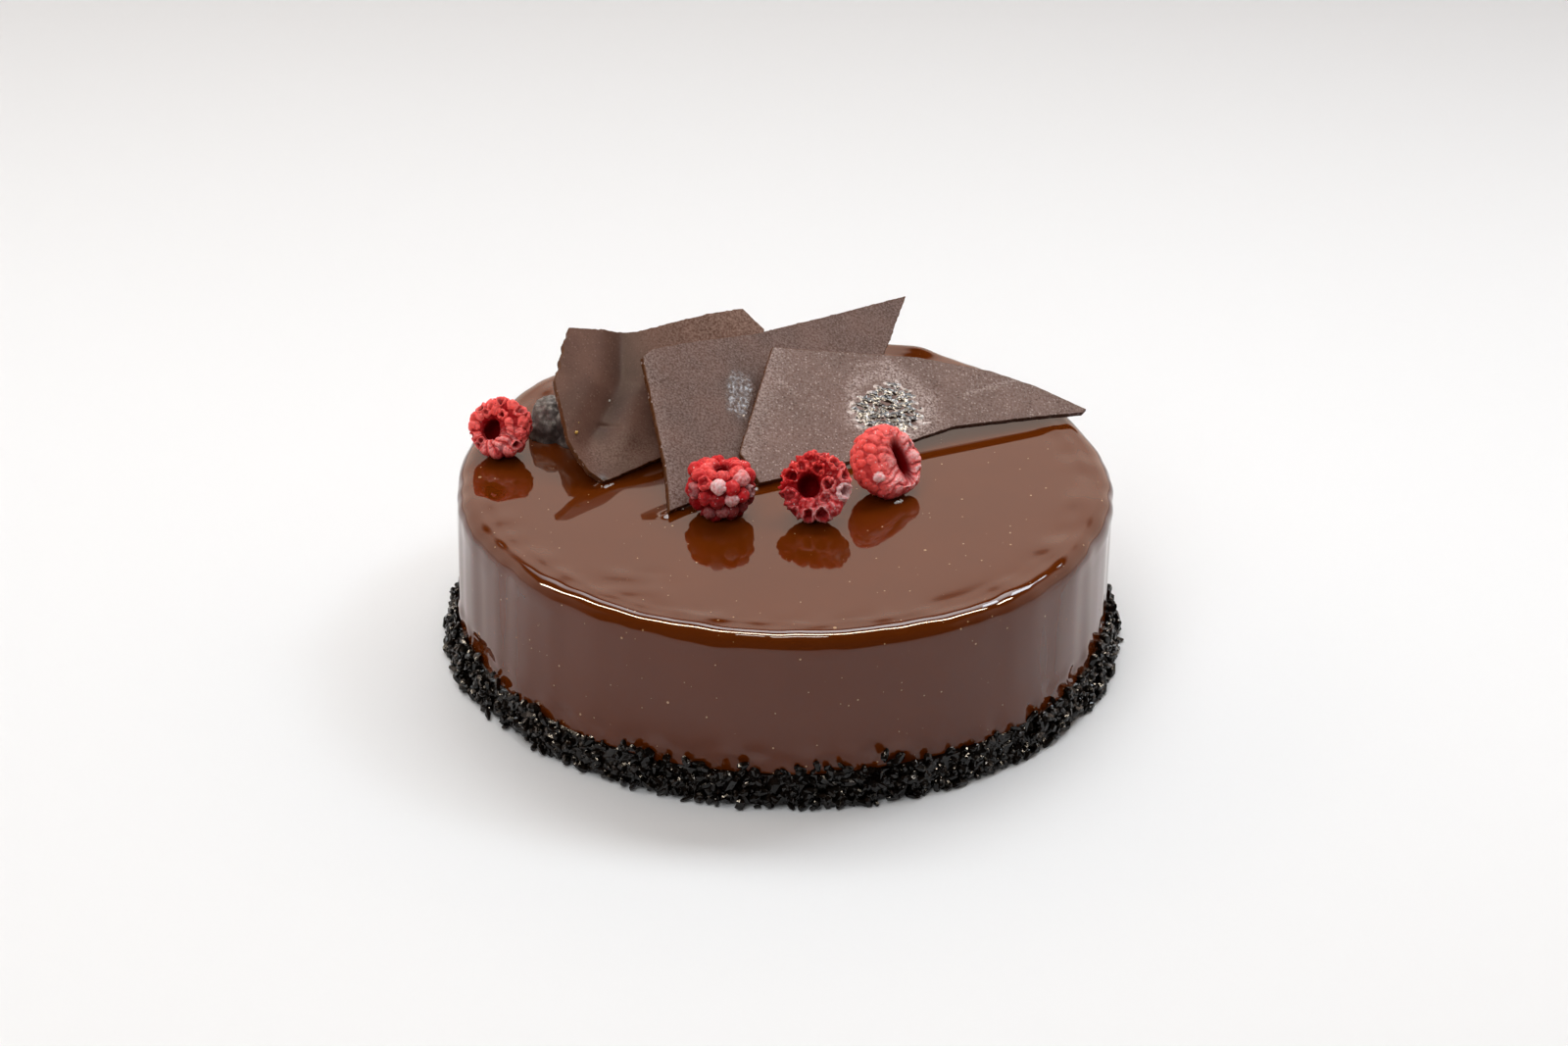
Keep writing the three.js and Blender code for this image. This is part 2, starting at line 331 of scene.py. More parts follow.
# For each layer of crumbs: how many, how far out from the wall, and how high its top is
CRUMB_LAYERS = [(860, 0.7, 13.4), (740, 2.0, 11.0), (480, 3.1, 7.4), (150, 3.8, 1.8)]


def crumb_core():
    """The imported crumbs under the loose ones: a profile turned round Z, roughened by noise."""
    radius, height = np.array(CORE_PROFILE).T
    place = turned_rings(radius, height, even_turns(CORE_COLUMNS))
    place[..., :2] *= 1 + 0.004 * waves(place, 4, 21)[..., None]
    return np.concatenate([place.reshape(-1, 3), [[0, 0, height[0]], [0, 0, height[-1]]]])


def crumb_places(random):
    """Middles of the crumbs, layer by layer from the wall out. In each the height is even from the foot to
    a top that waves round the border, so that the edge is ragged and the crumbs clump."""
    places = []
    for count, out, top in CRUMB_LAYERS:
        turn = random.uniform(0, 2 * np.pi, count)
        around = GLAZE_RADIUS * unit_circle(turn)
        ragged = 1.1 * waves(around, 17, 22) + 0.8 * waves(around, 6, 23)
        height = 0.9 + random.uniform(0, 1, count) * (top - 1.9 + ragged * top / 13)
        radius = GLAZE_RADIUS + out + random.normal(0, 0.35, count) + 0.25 * ragged
        places.append(np.stack([radius * np.cos(turn), radius * np.sin(turn), height], -1))
    return np.concatenate(places)


def crumbs():
    """Every crumb is a blunt lumpy rod, rings of points round an axis of its own. All of them are worked
    out in one array, turned to their axes, moved to their places and lifted off the ground."""
    random = np.random.default_rng(24)
    middles = crumb_places(random)
    count = len(middles)
    girth = (1 - np.abs(CRUMB_SHARES) ** 3.2) ** 0.5
    turn = even_turns(CRUMB_SIDES)
    half_length = random.uniform(*CRUMB_HALF_LENGTH, (count, 1, 1))
    half_width = random.uniform(*CRUMB_HALF_WIDTH, (count, 1, 1))
    lumps = random.uniform(0.72, 1.2, (count, len(girth), CRUMB_SIDES)) * half_width * girth[:, None]
    flat = random.uniform(0.6, 1.0, (count, 1, 1))
    along = np.broadcast_to(half_length * CRUMB_SHARES[:, None], lumps.shape)
    rod = np.stack([along, lumps * np.cos(turn), lumps * flat * np.sin(turn)], -1).reshape(count, -1, 3)
    ends = np.zeros((count, 2, 3))
    ends[:, :, 0] = half_length[:, :, 0] * np.array([-1, 1])
    rod = np.concatenate([rod, ends], 1)

    outward = middles * (1, 1, 0) / np.linalg.norm(middles[:, :2], axis=1)[:, None]
    axis = random.normal(size=(count, 3))
    axis -= 0.6 * outward * (axis * outward).sum(1)[:, None]
    axis /= np.linalg.norm(axis, axis=1)[:, None]
    across = np.cross(axis, random.normal(size=(count, 3)))
    across /= np.linalg.norm(across, axis=1)[:, None]
    frames = np.stack([axis, across, np.cross(axis, across)], 1)
    points = rod @ frames + middles[:, None]
    lift = np.maximum(0.15 - points[..., 2].min(1), 0)
    points[..., 2] += lift[:, None]
    return points


def crumb_material():
    """Dark biscuit: black to brown from crumb to crumb, rough and pitted, with an oily shine on the high
    spots."""
    material, tree, shader, place = new_material("dark_crumb")
    tone = spread(tree, noise(tree, place, 420), 0.42, 0.72)
    tree.links.new(blend(tree, tone, CRUMB_BLACK, CRUMB_BROWN), shader.inputs["Base Color"])
    oily = spread(tree, noise(tree, place, 500), 0.35, 0.65, 0.06, 0.22)
    tree.links.new(oily, shader.inputs["Roughness"])
    shader.inputs["Specular IOR Level"].default_value = 0.4
    relief(tree, shader, 0.35, 0.0003, noise(tree, place, 900))
    return material


def joined(copies, quads, fans):
    """Many closed surfaces with the same faces as one: their points in a row and their faces numbered
    on."""
    starts = copies.shape[1] * np.arange(len(copies))[:, None, None]
    return copies.reshape(-1, 3), (quads + starts).reshape(-1, 4), (fans + starts).reshape(-1, 3)


core_points = crumb_core()
core_quads, core_fans = turned_faces(len(CORE_PROFILE), CORE_COLUMNS)
points, quads, fans = joined(crumbs(), *turned_faces(len(CRUMB_SHARES), CRUMB_SIDES))
crumb_border = new_piece(
    "crumb_border",
    np.concatenate([core_points, points]),
    np.concatenate([core_quads, quads + len(core_points)]),
    np.concatenate([core_fans, fans + len(core_points)]),
    crumb_material(), smooth=False,
)
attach(crumb_border, "root")
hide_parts("glazed_cake")


# Left sheet: dark chocolate spread thin on film, which leaves the underside smooth, left to set in a wave
# and broken by hand. Its underside is painted near black as painted shade, and so is the valley down its
# middle. Its low corner stands in the glaze, its lower edge curls up off it, it leans back on the lump, and
# its right-hand end turns up under the next sheet.
SHEET_BASE = GLAZE_HEIGHT + 0.3
SHEET_THICKNESS = 2.0
SHEET_COLUMNS = 130
SHEET_ROWS = 84
EDGE_SHARES = (0.0, 0.08, 0.3, 0.6, 0.9, 1.0)

# A sheet's outline is the breaks along its four sides, in its own plane: u along the lower edge and v up
# the slope. Its stand is the place of its foot, its heading and its tilt.
LEFT_OUTLINE = {
    "bottom": [(0, 0), (22, 0), (48, 4)],
    "left": [
        (0, 0), (-2.5, 5), (-3, 16), (3.5, 35.5), (8, 39.2), (8.9, 40.8), (12, 43.6), (12.9, 45.6),
        (16, 47.4), (18.5, 50),
    ],
    "top": [(18.5, 50), (41, 41.5), (54.5, 39), (74, 34)],
    "right": [(48, 4), (77, 25), (74, 34)],
}
LEFT_STAND = ((-55.7, -11.2), 42, 39.2)
LEFT_DARK = (0.096, 0.043, 0.029, 1)
LEFT_LIGHT = (0.146, 0.069, 0.048, 1)
LEFT_GRAIN = (0.31, 0.185, 0.140, 1)
EDGE_BROWN = (0.115, 0.040, 0.014, 1)
# Near black brown for wet chocolate and for painted shade: the pits, the left sheet's valley, the
# undersides and beside the middle sheet's wet patch
SHADE_AND_WET_BROWN = (0.022, 0.009, 0.005, 1)
# How far the undersides of the sheets are painted near black, as painted shade
UNDER_SHADE = 0.6


def broken_side(breaks, shares, chips, seed):
    """One side of an outline at shares of its length: straight from break to break, with small chips across
    it that die out at the corners."""
    breaks = np.array(breaks, float)
    lengths = np.concatenate([[0], np.cumsum(np.hypot(*np.diff(breaks, axis=0).T))])
    at = shares * lengths[-1]
    side = np.stack([np.interp(at, lengths, breaks[:, 0]), np.interp(at, lengths, breaks[:, 1])], -1)
    along = np.gradient(side, axis=0)
    along /= np.linalg.norm(along, axis=1)[:, None] + 1e-9
    run = np.stack([at, 0 * at, 0 * at], -1)
    jag = chips * (0.6 * waves(run, 5, seed) + 0.4 * waves(run, 1.8, seed + 1))
    jag *= np.clip(np.minimum(at, lengths[-1] - at) / 2.5, 0, 1)
    return side + jag[:, None] * np.stack([-along[:, 1], along[:, 0]], -1)


def sheet_plane(outline, chips, seed):
    """A grid that fills four sides: the blend of bottom and top plus the blend of left and right, less the
    blend of the four corners. Rows and columns crowd at the edges, so that the edges stay crisp."""
    crowd = np.array([0, 0.005])
    s = np.concatenate([crowd, np.linspace(0.014, 0.986, SHEET_COLUMNS), 1 - crowd[::-1]])
    t = np.concatenate([crowd, np.linspace(0.016, 0.984, SHEET_ROWS), 1 - crowd[::-1]])
    low = broken_side(outline["bottom"], s, chips, seed)[None]
    high = broken_side(outline["top"], s, chips, seed + 2)[None]
    first = broken_side(outline["left"], t, chips, seed + 4)[:, None]
    last = broken_side(outline["right"], t, chips, seed + 6)[:, None]
    s, t = s[None, :, None], t[:, None, None]
    first_corners = (1 - t) * low[:, :1] + t * high[:, :1]
    last_corners = (1 - t) * low[:, -1:] + t * high[:, -1:]
    across = (1 - s) * (first - first_corners) + s * (last - last_corners)
    return (1 - t) * low + t * high + across


def set_on_foot(uv, height, foot, heading, tilt):
    """Places in a sheet's plane and heights over it, tilted about the lower edge, turned round Z and moved
    to the foot."""
    slope, turn = math.radians(tilt), math.radians(heading)
    level = uv[:, 1] * math.cos(slope) - height * math.sin(slope)
    return np.stack([
        foot[0] + uv[:, 0] * math.cos(turn) - level * math.sin(turn),
        foot[1] + uv[:, 0] * math.sin(turn) + level * math.cos(turn),
        SHEET_BASE + uv[:, 1] * math.sin(slope) + height * math.cos(slope),
    ], -1)


def grid_faces(number):
    """Four-sided faces between neighbouring rows and columns of numbered points."""
    corners = [number[:-1, :-1], number[:-1, 1:], number[1:, 1:], number[1:, :-1]]
    return np.stack(corners, -1).reshape(-1, 4)


def sheet_surface(outline, stand, lift, chips, seed):
    """A closed sheet: its upper face over the plane grid, its lower face a thickness below, and a broken
    wall round the edge that bulges and crumbles between them. lift(u, v) raises the plane, and the stand is
    the foot, heading and tilt. Also gives the place in the plane, the share of edge and the share of upper
    face."""
    plane = sheet_plane(outline, chips, seed)
    rows, columns = plane.shape[:2]
    number = np.arange(rows * columns).reshape(rows, columns)
    loop = np.concatenate([number[0, :-1], number[:-1, -1], number[-1, :0:-1], number[:0:-1, 0]])
    flat = plane.reshape(-1, 2)
    rim = flat[loop]
    along = np.roll(rim, -1, 0) - np.roll(rim, 1, 0)
    along /= np.linalg.norm(along, axis=1)[:, None] + 1e-9
    outward = np.stack([along[:, 1], -along[:, 0]], -1)
    walls, depths = [], []
    for share in EDGE_SHARES[1:-1]:
        depth = SHEET_THICKNESS * (1 - share)
        place = np.concatenate([rim, np.full((len(rim), 1), depth)], 1)
        crumble = 0.14 * np.sin(np.pi * share) + 0.10 * waves(place, 1.6, seed + 8)
        walls.append(rim + crumble[:, None] * outward)
        depths.append(np.full(len(rim), depth))
    uv = np.concatenate([flat, flat, *walls])
    height = np.concatenate([np.full(len(flat), SHEET_THICKNESS), np.zeros(len(flat)), *depths])
    height = height + lift(uv[:, 0], uv[:, 1])
    near_edge = np.zeros(len(flat))
    near_edge[loop] = 1
    edge = np.concatenate([near_edge, near_edge, np.ones(len(rim) * len(walls))])
    upper = np.concatenate([np.ones(len(flat)), np.zeros(len(flat) + len(rim) * len(walls))])

    cells = grid_faces(number)
    below = len(flat)
    between = [2 * below + ring * len(loop) + np.arange(len(loop)) for ring in range(len(walls))]
    rings = [loop, *between, below + loop]
    wall_quads = [
        np.stack([high, low, np.roll(low, -1), np.roll(high, -1)], -1)
        for high, low in zip(rings, rings[1:])
    ]
    quads = np.concatenate([cells, cells[:, ::-1] + below, *wall_quads])
    return set_on_foot(uv, height, *stand), quads, uv, edge, upper


def smooth_step(value, low, high):
    """0 below low, 1 above high, and a smooth rise between."""
    share = np.clip((value - low) / (high - low), 0, 1)
    return share * share * (3 - 2 * share)


def left_lift(u, v):
    """The set wave: an end that turns up, a valley down the middle that bends to the low corner, a fold
    where it bends, a swelling below the fold, and a lower edge that curls up, more to the right."""
    valley = np.minimum(off_line(u, v, (38, 46), (27, 29)), off_line(u, v, (27, 29), (3, 12)))
    place = np.stack([u, v, 0 * u], -1)
    curl = (1 - smooth_step(v, -1, 10)) ** 2 * (0.3 + 2.2 * smooth_step(u, 1, 22))
    swelling = 0.9 * hill(off_line(u, v, (11, 8), (17, 11)), 5)
    fold = 0.45 * hill(off_line(u, v, (11, 17.5), (16, 14.5)), 1.0)
    return (
        8.2 * smooth_step(u, 40, 78) - 2.4 * hill(valley, 5.5) + swelling - fold
        + 0.12 * waves(place, 24, 40) + curl
    )


def mark(tree, name):
    """A piece's own mark of that name."""
    return shader_node(tree, "ShaderNodeAttribute", attribute_name=name).outputs["Fac"]


def sheet_material(name, dark, light, frost_colour, grain):
    """Set chocolate: cloudy brown with a satin face, fine pits painted near black as painted shade and pale
    grains, brown crumbling edges, and where the marks say so frost in fine crystals, a shine of water, and
    a near black face that stands for wet chocolate and for painted shade."""
    material, tree, shader, place = new_material(name)
    wet = mark(tree, "wet")
    fine = noise(tree, place, 1500, 3)
    cloud = noise(tree, place, 90, 3)
    brown = blend(tree, spread(tree, cloud, 0.35, 0.65), dark, light)
    grains = maths(tree, "MAXIMUM", specks(tree, 1250, 0.46, 0.50), specks(tree, 560, 0.20, 0.10))
    pits = maths(tree, "MAXIMUM", specks(tree, 1050, 0.44, 0.40), specks(tree, 450, 0.20, 0.14))
    haze = maths(tree, "MULTIPLY", spread(tree, fine, 0.36, 0.68), mark(tree, "frost"))
    dusted = maths(tree, "MAXIMUM", maths(tree, "MULTIPLY", grains, grain), haze)
    brown = blend(tree, dusted, brown, frost_colour)
    # Painted shade: the pits go near black, and so do the places of the wet mark, which is wet chocolate at
    # the tip and patches and painted shade on the undersides, the left valley and beside the middle patch.
    brown = blend(tree, maths(tree, "MULTIPLY", pits, 0.75 * grain), brown, SHADE_AND_WET_BROWN)
    brown = blend(tree, wet, brown, SHADE_AND_WET_BROWN)
    crumbled = maths(tree, "MULTIPLY", mark(tree, "edge"), spread(tree, fine, 0.25, 0.5))
    broken = blend(tree, specks(tree, 800, 0.45, 0.30), EDGE_BROWN, frost_colour)
    tree.links.new(blend(tree, crumbled, brown, broken), shader.inputs["Base Color"])
    satin = spread(tree, cloud, 0.3, 0.7, 0.42, 0.52)
    wetted = maths(tree, "MULTIPLY", wet, 0.30)
    tree.links.new(maths(tree, "SUBTRACT", satin, wetted), shader.inputs["Roughness"])
    raised = maths(tree, "ADD", fine, maths(tree, "MULTIPLY", grains, 0.6))
    relief(tree, shader, 0.4, 0.00014, maths(tree, "SUBTRACT", raised, pits))
    ruffled = spread(tree, noise(tree, place, 800, 4), 0.38, 0.66)
    glint = maths(tree, "MULTIPLY", mark(tree, "shine"), ruffled)
    tree.links.new(glint, shader.inputs["Coat Weight"])
    shader.inputs["Coat Roughness"].default_value = 0.17
    shader.inputs["IOR"].default_value = 1.5
    shader.inputs["Specular IOR Level"].default_value = 0.06
    return material


points, quads, uv, edge, upper = sheet_surface(LEFT_OUTLINE, LEFT_STAND, left_lift, chips=0.10, seed=41)
no_fans = np.zeros((0, 3), int)
u, v = uv.T
# Pale frost: a little all over and more along the lower part; the much paler turned-up right end is partly
# frost and partly painted light on that end.
left_frost_and_light = 0.06 + 0.35 * hill(off_line(u, v, (4, 8), (20, 6)), 6) + 0.85 * smooth_step(u, 32, 62)
left_tip = upper * hill(np.hypot(u, v), 1.6)
# Painted shade: the valley and the underside are painted near black through the wet mark; only the tip in
# the glaze is really wet.
left_valley_shade = np.maximum(
    hill(off_line(u, v, (35, 42), (27, 27)), 6), hill(off_line(u, v, (27, 27), (9, 15.5)), 3.6)
)
left_wet_and_shade = np.maximum.reduce([left_tip, 0.55 * upper * left_valley_shade, UNDER_SHADE * (1 - upper)])
left_sheet = new_piece(
    "sheet_left", points, quads, no_fans,
    sheet_material("left_sheet_chocolate", LEFT_DARK, LEFT_LIGHT, LEFT_GRAIN, grain=0.25),
    edge=edge, frost=upper * left_frost_and_light, wet=left_wet_and_shade, shine=0.8 * left_tip,
)
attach(left_sheet, "root")
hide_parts("chocolate_sheet_left")


# Stray bits: two crumbs of gold leaf, one of them tiny, and a white crumb of sugar. They stick to the upper
# face of the left sheet, partly sunk into it.
STRAY_GOLD = (0.62, 0.36, 0.06, 1)
STRAY_WHITE = (0.70, 0.64, 0.56, 1)
BIT_SIDES = 8
BIT_ANGLES = np.radians([150, 115, 75, 40])

# For each bit: its place on the sheet, its radius, and 1 for gold or 0 for white
STRAY_BITS = [(1.1, 17.8, 0.62, 1.0), (18.9, 24.1, 0.36, 0.0), (3.6, 20.5, 0.16, 1.0)]


def lumpy_ball(radius, seed):
    """A ball of rings, each point at its own distance from the middle."""
    random = np.random.default_rng(seed)
    unit = turned_rings(np.sin(BIT_ANGLES), np.cos(BIT_ANGLES), even_turns(BIT_SIDES))
    ball = np.concatenate([unit.reshape(-1, 3), [[0, 0, -1], [0, 0, 1]]]) * radius
    return ball * random.uniform(0.7, 1.15, (len(ball), 1))


def bit_surface(u, v, radius, seed):
    """A lumpy ball, partly sunk in the left sheet's upper face."""
    ball = lumpy_ball(radius, seed)
    base = SHEET_THICKNESS + left_lift(np.array([u]), np.array([v]))[0] + 0.3 * radius
    return set_on_foot(ball[:, :2] + (u, v), ball[:, 2] + base, *LEFT_STAND)


def stray_material():
    """Gold where the mark is 1, white where it is 0, dull and uneven."""
    material, tree, shader, place = new_material("stray_bits")
    tree.links.new(blend(tree, mark(tree, "gold"), STRAY_WHITE, STRAY_GOLD), shader.inputs["Base Color"])
    tree.links.new(spread(tree, noise(tree, place, 2000), 0.3, 0.7, 0.3, 0.6), shader.inputs["Roughness"])
    return material


bits = np.stack([bit_surface(*bit[:3], 46 + number) for number, bit in enumerate(STRAY_BITS)])
bit_faces = turned_faces(len(BIT_ANGLES), BIT_SIDES)
stray_bits = new_piece(
    "stray_bits", *joined(bits, *bit_faces), stray_material(),
    gold=np.repeat([bit[3] for bit in STRAY_BITS], bits.shape[1]),
)
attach(stray_bits, "root")
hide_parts("chocolate_sheet_left")


# Middle sheet: a flat sheet of the same chocolate, broken to a long point. Its low corner is stuck in the
# glaze and it lies back on the left sheet. Cold from the freezer, it has fine drops all over and one wet
# patch. Round the patch it is painted darker, partly as wet chocolate and partly as painted shade of the
# right sheet, and its underside is painted near black as painted shade.
MIDDLE_OUTLINE = {
    "bottom": [(0, 0), (45, 0), (80, 3)],
    "left": [(0, 0), (8.5, 13), (27, 50)],
    "top": [(27, 50), (32.5, 51.5), (43.5, 49.5), (71.5, 43), (129.5, 36)],
    "right": [(80, 3), (111, 23), (129.5, 36)],
}
MIDDLE_STAND = ((-35, -29.2), 44, 32)
MIDDLE_DARK = (0.084, 0.041, 0.030, 1)
MIDDLE_LIGHT = (0.119, 0.060, 0.045, 1)
MIDDLE_GRAIN = (0.46, 0.34, 0.30, 1)
FILM_UNDER = (0.4, 0.9)
FILM_RINGS = 80
FILM_COLUMNS = 300
FILM_DEPTH = 0.08
FILM_SUNK = -0.4
FILM_DARK = (0.020, 0.009, 0.006, 1)
FILM_ICE = (0.78, 0.75, 0.73, 1)
MIDDLE_RUFFLES = [(0.018, 1.9), (0.008, 0.9)]


def flat_lift(u, v):
    """A sheet that set almost flat: long low swells."""
    return 0.10 * waves(np.stack([u, v, 0 * u], -1), 45, 50)


def film_surface(middle, reach, turn, stand, ruffles, drops, seed):
    """A film of melt water on a sheet: rings in the sheet's plane round a middle, out to two reaches,
    turned. Its top is ruffled by waves given as height and length, and raised by drops given as u, v, half
    width, half length and height. At the ragged edge it dips into the sheet. Also gives how wet it is and
    the place in the film."""
    share = np.concatenate([FILM_UNDER, np.linspace(1, 0.01, FILM_RINGS)])[:, None]
    angle = even_turns(FILM_COLUMNS)
    bound = unit_circle(angle)
    ragged = share * (1 + 0.10 * waves(bound, 1.6, seed) + 0.04 * waves(bound, 0.5, seed + 1))
    first, second = reach[0] * ragged * np.cos(angle), reach[1] * ragged * np.sin(angle)
    slant = math.radians(turn)
    u = middle[0] + first * math.cos(slant) - second * math.sin(slant)
    v = middle[1] + first * math.sin(slant) + second * math.cos(slant)
    place = np.stack([first, second, 0 * first], -1)
    inner = smooth_step(1 - share, 0, 0.45) * np.ones(FILM_COLUMNS)
    height = FILM_DEPTH * (2 * inner - 1)
    for number, (ruffle, length) in enumerate(ruffles):
        height = height + inner * ruffle * waves(place, length, seed + 2 + number)
    for drop_u, drop_v, half_u, half_v, rise in drops:
        height = height + rise * hill(np.hypot((u - drop_u) / half_u, (v - drop_v) / half_v) ** 2, 1)
    height[:len(FILM_UNDER)] = FILM_SUNK
    uv = np.concatenate([np.stack([u, v], -1).reshape(-1, 2), [middle, middle]])
    height = np.concatenate([height.ravel(), [FILM_SUNK, height[-1].mean()]])
    wet = np.append(inner.ravel(), [0, 1])
    place = np.concatenate([place.reshape(-1, 3), np.zeros((2, 3))])
    return set_on_foot(uv, SHEET_THICKNESS + flat_lift(uv[:, 0], uv[:, 1]) + height, *stand), wet, place


def film_material(name, dry, ice):
    """Melt water on chocolate: dark and mirror-wet in the middle, dry at the edge, with a share of white
    ice in fine crystals."""
    material, tree, shader, place = new_material(name)
    patches = spread(tree, noise(tree, place, 700, 4), 0.3, 0.7, -0.45, 0.45)
    melted = spread(tree, maths(tree, "ADD", mark(tree, "wet"), patches), 0.30, 0.85)
    crystals = spread(tree, noise(tree, place, 900, 4), 0.72 - 0.25 * ice, 0.82 - 0.25 * ice)
    bare = blend(tree, melted, dry, FILM_DARK)
    tree.links.new(blend(tree, crystals, bare, FILM_ICE), shader.inputs["Base Color"])
    tree.links.new(spread(tree, melted, 0, 1, 0.55, 0.05), shader.inputs["Roughness"])
    shader.inputs["IOR"].default_value = 1.45
    return material


points, quads, uv, edge, upper = sheet_surface(MIDDLE_OUTLINE, MIDDLE_STAND, flat_lift, chips=0.07, seed=51)
u, v = uv.T
# Round the wet patch the face is painted darker, partly as wet chocolate and partly as painted shade of the
# right sheet above it.
wet_along = (u - 50.5) * 0.70 + (v - 25) * 0.71
wet_across = (v - 25) * 0.70 - (u - 50.5) * 0.71
middle_wet_and_shade = upper * 0.6 * hill(np.hypot(wet_along / 11, wet_across / 6) ** 2, 1)
middle_frost = upper * (0.26 + 0.25 * hill(off_line(u, v, (0, 0), (27, 50)), 4))
middle_chocolate = sheet_material(
    "middle_sheet_chocolate", MIDDLE_DARK, MIDDLE_LIGHT, MIDDLE_GRAIN, grain=0.28
)
middle_sheet = new_piece(
    "sheet_middle", points, quads, no_fans, middle_chocolate,
    edge=edge, frost=middle_frost, wet=np.maximum(middle_wet_and_shade, UNDER_SHADE * (1 - upper)), shine=0 * upper,
)
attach(middle_sheet, "root")
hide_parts("chocolate_sheet_middle")

film_quads, film_fans = turned_faces(len(FILM_UNDER) + FILM_RINGS, FILM_COLUMNS)
points, wet, place = film_surface(
    (48.3, 25.6), reach=(14.5, 7.2), turn=46, stand=MIDDLE_STAND, ruffles=MIDDLE_RUFFLES, drops=[], seed=55
)
drawn_out = place * (0.25, 1, 1)
streaks = 0.5 + 0.5 * smooth_step(waves(drawn_out, 0.9, 58), -1.2, 1.2)
# Painted highlight: along the streaks of shine the pale frost share is raised as well, so the streaks also
# show in the colour.
middle_film = new_piece(
    "film_middle", points, film_quads, film_fans, middle_chocolate,
    edge=0 * wet, frost=0.26 + 0.2 * streaks * wet, wet=0.35 * wet, shine=0.7 * streaks * wet ** 3,
)
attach(middle_film, "root")
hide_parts("chocolate_sheet_middle")


# Right sheet: a flat sheet with a curved broken end, laid over the middle one. Frost has settled on it,
# with a thumb print where it has thawed to wet ice inside a white ring, and a few scratches. Its free lower
# edge is painted dark as painted shade, and so is its underside.
RIGHT_OUTLINE = {
    "bottom": [(12, 0), (40, 0.8), (67, 4), (81, 5.6), (109, 2.9), (124.5, 1)],
    "left": [(12, 0), (10, 12), (21, 27), (35, 46.4)],
    "top": [(35, 46.4), (80.5, 32.2), (101, 22.4), (113.5, 13.4), (126, 1.8)],
    "right": [(124.5, 1), (126, 1.8)],
}
RIGHT_STAND = ((-18.9, -15.7), 26, 29.8)
RIGHT_SCRATCHES = [
    ((32.1, 34.6), (35.8, 28.1)), ((89.3, 16.2), (107.8, 17.4)),
    ((59.5, 34), (69.7, 32.9)), ((52, 26.5), (60.4, 32)),
]
RIGHT_DARK = (0.130, 0.071, 0.055, 1)
RIGHT_LIGHT = (0.172, 0.098, 0.078, 1)
RIGHT_FROST = (0.56, 0.44, 0.40, 1)
THUMB_RUFFLES = [(0.080, 2.6), (0.022, 1.0)]
THUMB_DROPS = [
    (63.3, 13.4, 1.7, 0.8, 0.45), (68.1, 10.7, 3.4, 0.45, 0.30), (58.7, 15.9, 1.6, 0.5, 0.30),
    (62.5, 10.5, 2.0, 0.35, 0.25), (72.1, 8.6, 2.2, 0.4, 0.25), (56.1, 14.5, 1.5, 0.4, 0.22),
    (66.3, 16.1, 0.9, 0.4, 0.20), (60.3, 18.3, 0.8, 0.4, 0.18),
]

points, quads, uv, edge, upper = sheet_surface(RIGHT_OUTLINE, RIGHT_STAND, flat_lift, chips=0.07, seed=61)
u, v = uv.T
thumb = np.hypot(u - 63.3, v - 17.2) + 0.8 * waves(np.stack([u, v, 0 * u], -1), 8, 62)
# Painted shade: along the free lower edge the pale crumbled edge colour is mostly left out, so the edge
# stays near black.
shaded_free_edge = smooth_step(u, 45, 62) * (1 - smooth_step(v, 6, 9))
right_frost = 0.24 + 0.7 * hill(thumb - 12.0, 3.0)
right_frost += 0.35 * hill(off_line(u, v, (10, 12), (35, 46.4)), 5)
for scratch_start, scratch_end in RIGHT_SCRATCHES:
    right_frost += 0.45 * hill(off_line(u, v, scratch_start, scratch_end), 0.7)
right_sheet = new_piece(
    "sheet_right", points, quads, no_fans,
    sheet_material("right_sheet_chocolate", RIGHT_DARK, RIGHT_LIGHT, RIGHT_FROST, grain=0.50),
    edge=edge * (1 - 0.85 * shaded_free_edge), frost=upper * np.clip(right_frost, 0, 1),
    wet=UNDER_SHADE * (1 - upper), shine=0 * upper,
)
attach(right_sheet, "root")
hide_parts("chocolate_sheet_right")

points, wet, _ = film_surface(
    (63.0, 17.2), reach=(14.0, 12.5), turn=0, stand=RIGHT_STAND, ruffles=THUMB_RUFFLES, drops=THUMB_DROPS,
    seed=65,
)
right_film = new_piece(
    "film_right", points, film_quads, film_fans,
    film_material("thumb_print_ice", RIGHT_FROST, ice=0.58), wet=wet,
)
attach(right_film, "root")
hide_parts("chocolate_sheet_right")


# Lump: a dull knob of dark chocolate in two lobes run together, set on the glaze to prop the left sheet.
# Its skin is grainy with grey bloom, painted paler on the upper side as a painted highlight.
LOBE_COLUMNS = 72
LOBE_ROWS = 40
LUMP_DARK = (0.040, 0.028, 0.024, 1)
LUMP_BLOOM_AND_HIGHLIGHT = (0.24, 0.20, 0.185, 1)

# For each lobe: x, y, radius and height
LOBES = [(-72.5, 22.0, 7.5, 12.5), (-64.0, 20.0, 8.5, 20.7)]


def lobe_surface(x, y, radius, height, seed):
    """A dome: half an ellipse turned round an upright axis and closed below, uneven by noise along its own
    radius."""
    rise = np.linspace(0, np.pi / 2, LOBE_ROWS, endpoint=False)
    unit = turned_rings(np.cos(rise), np.sin(rise), even_turns(LOBE_COLUMNS))
    dome = unit * (radius, radius, height)
    dome *= (1 + 0.03 * waves(dome, 6, seed) + 0.015 * waves(dome, 2.2, seed + 1))[..., None]
    dome = np.concatenate([dome.reshape(-1, 3), [[0, 0, 0], [0, 0, height]]])
    return dome + (x, y, SHEET_BASE - 0.2)


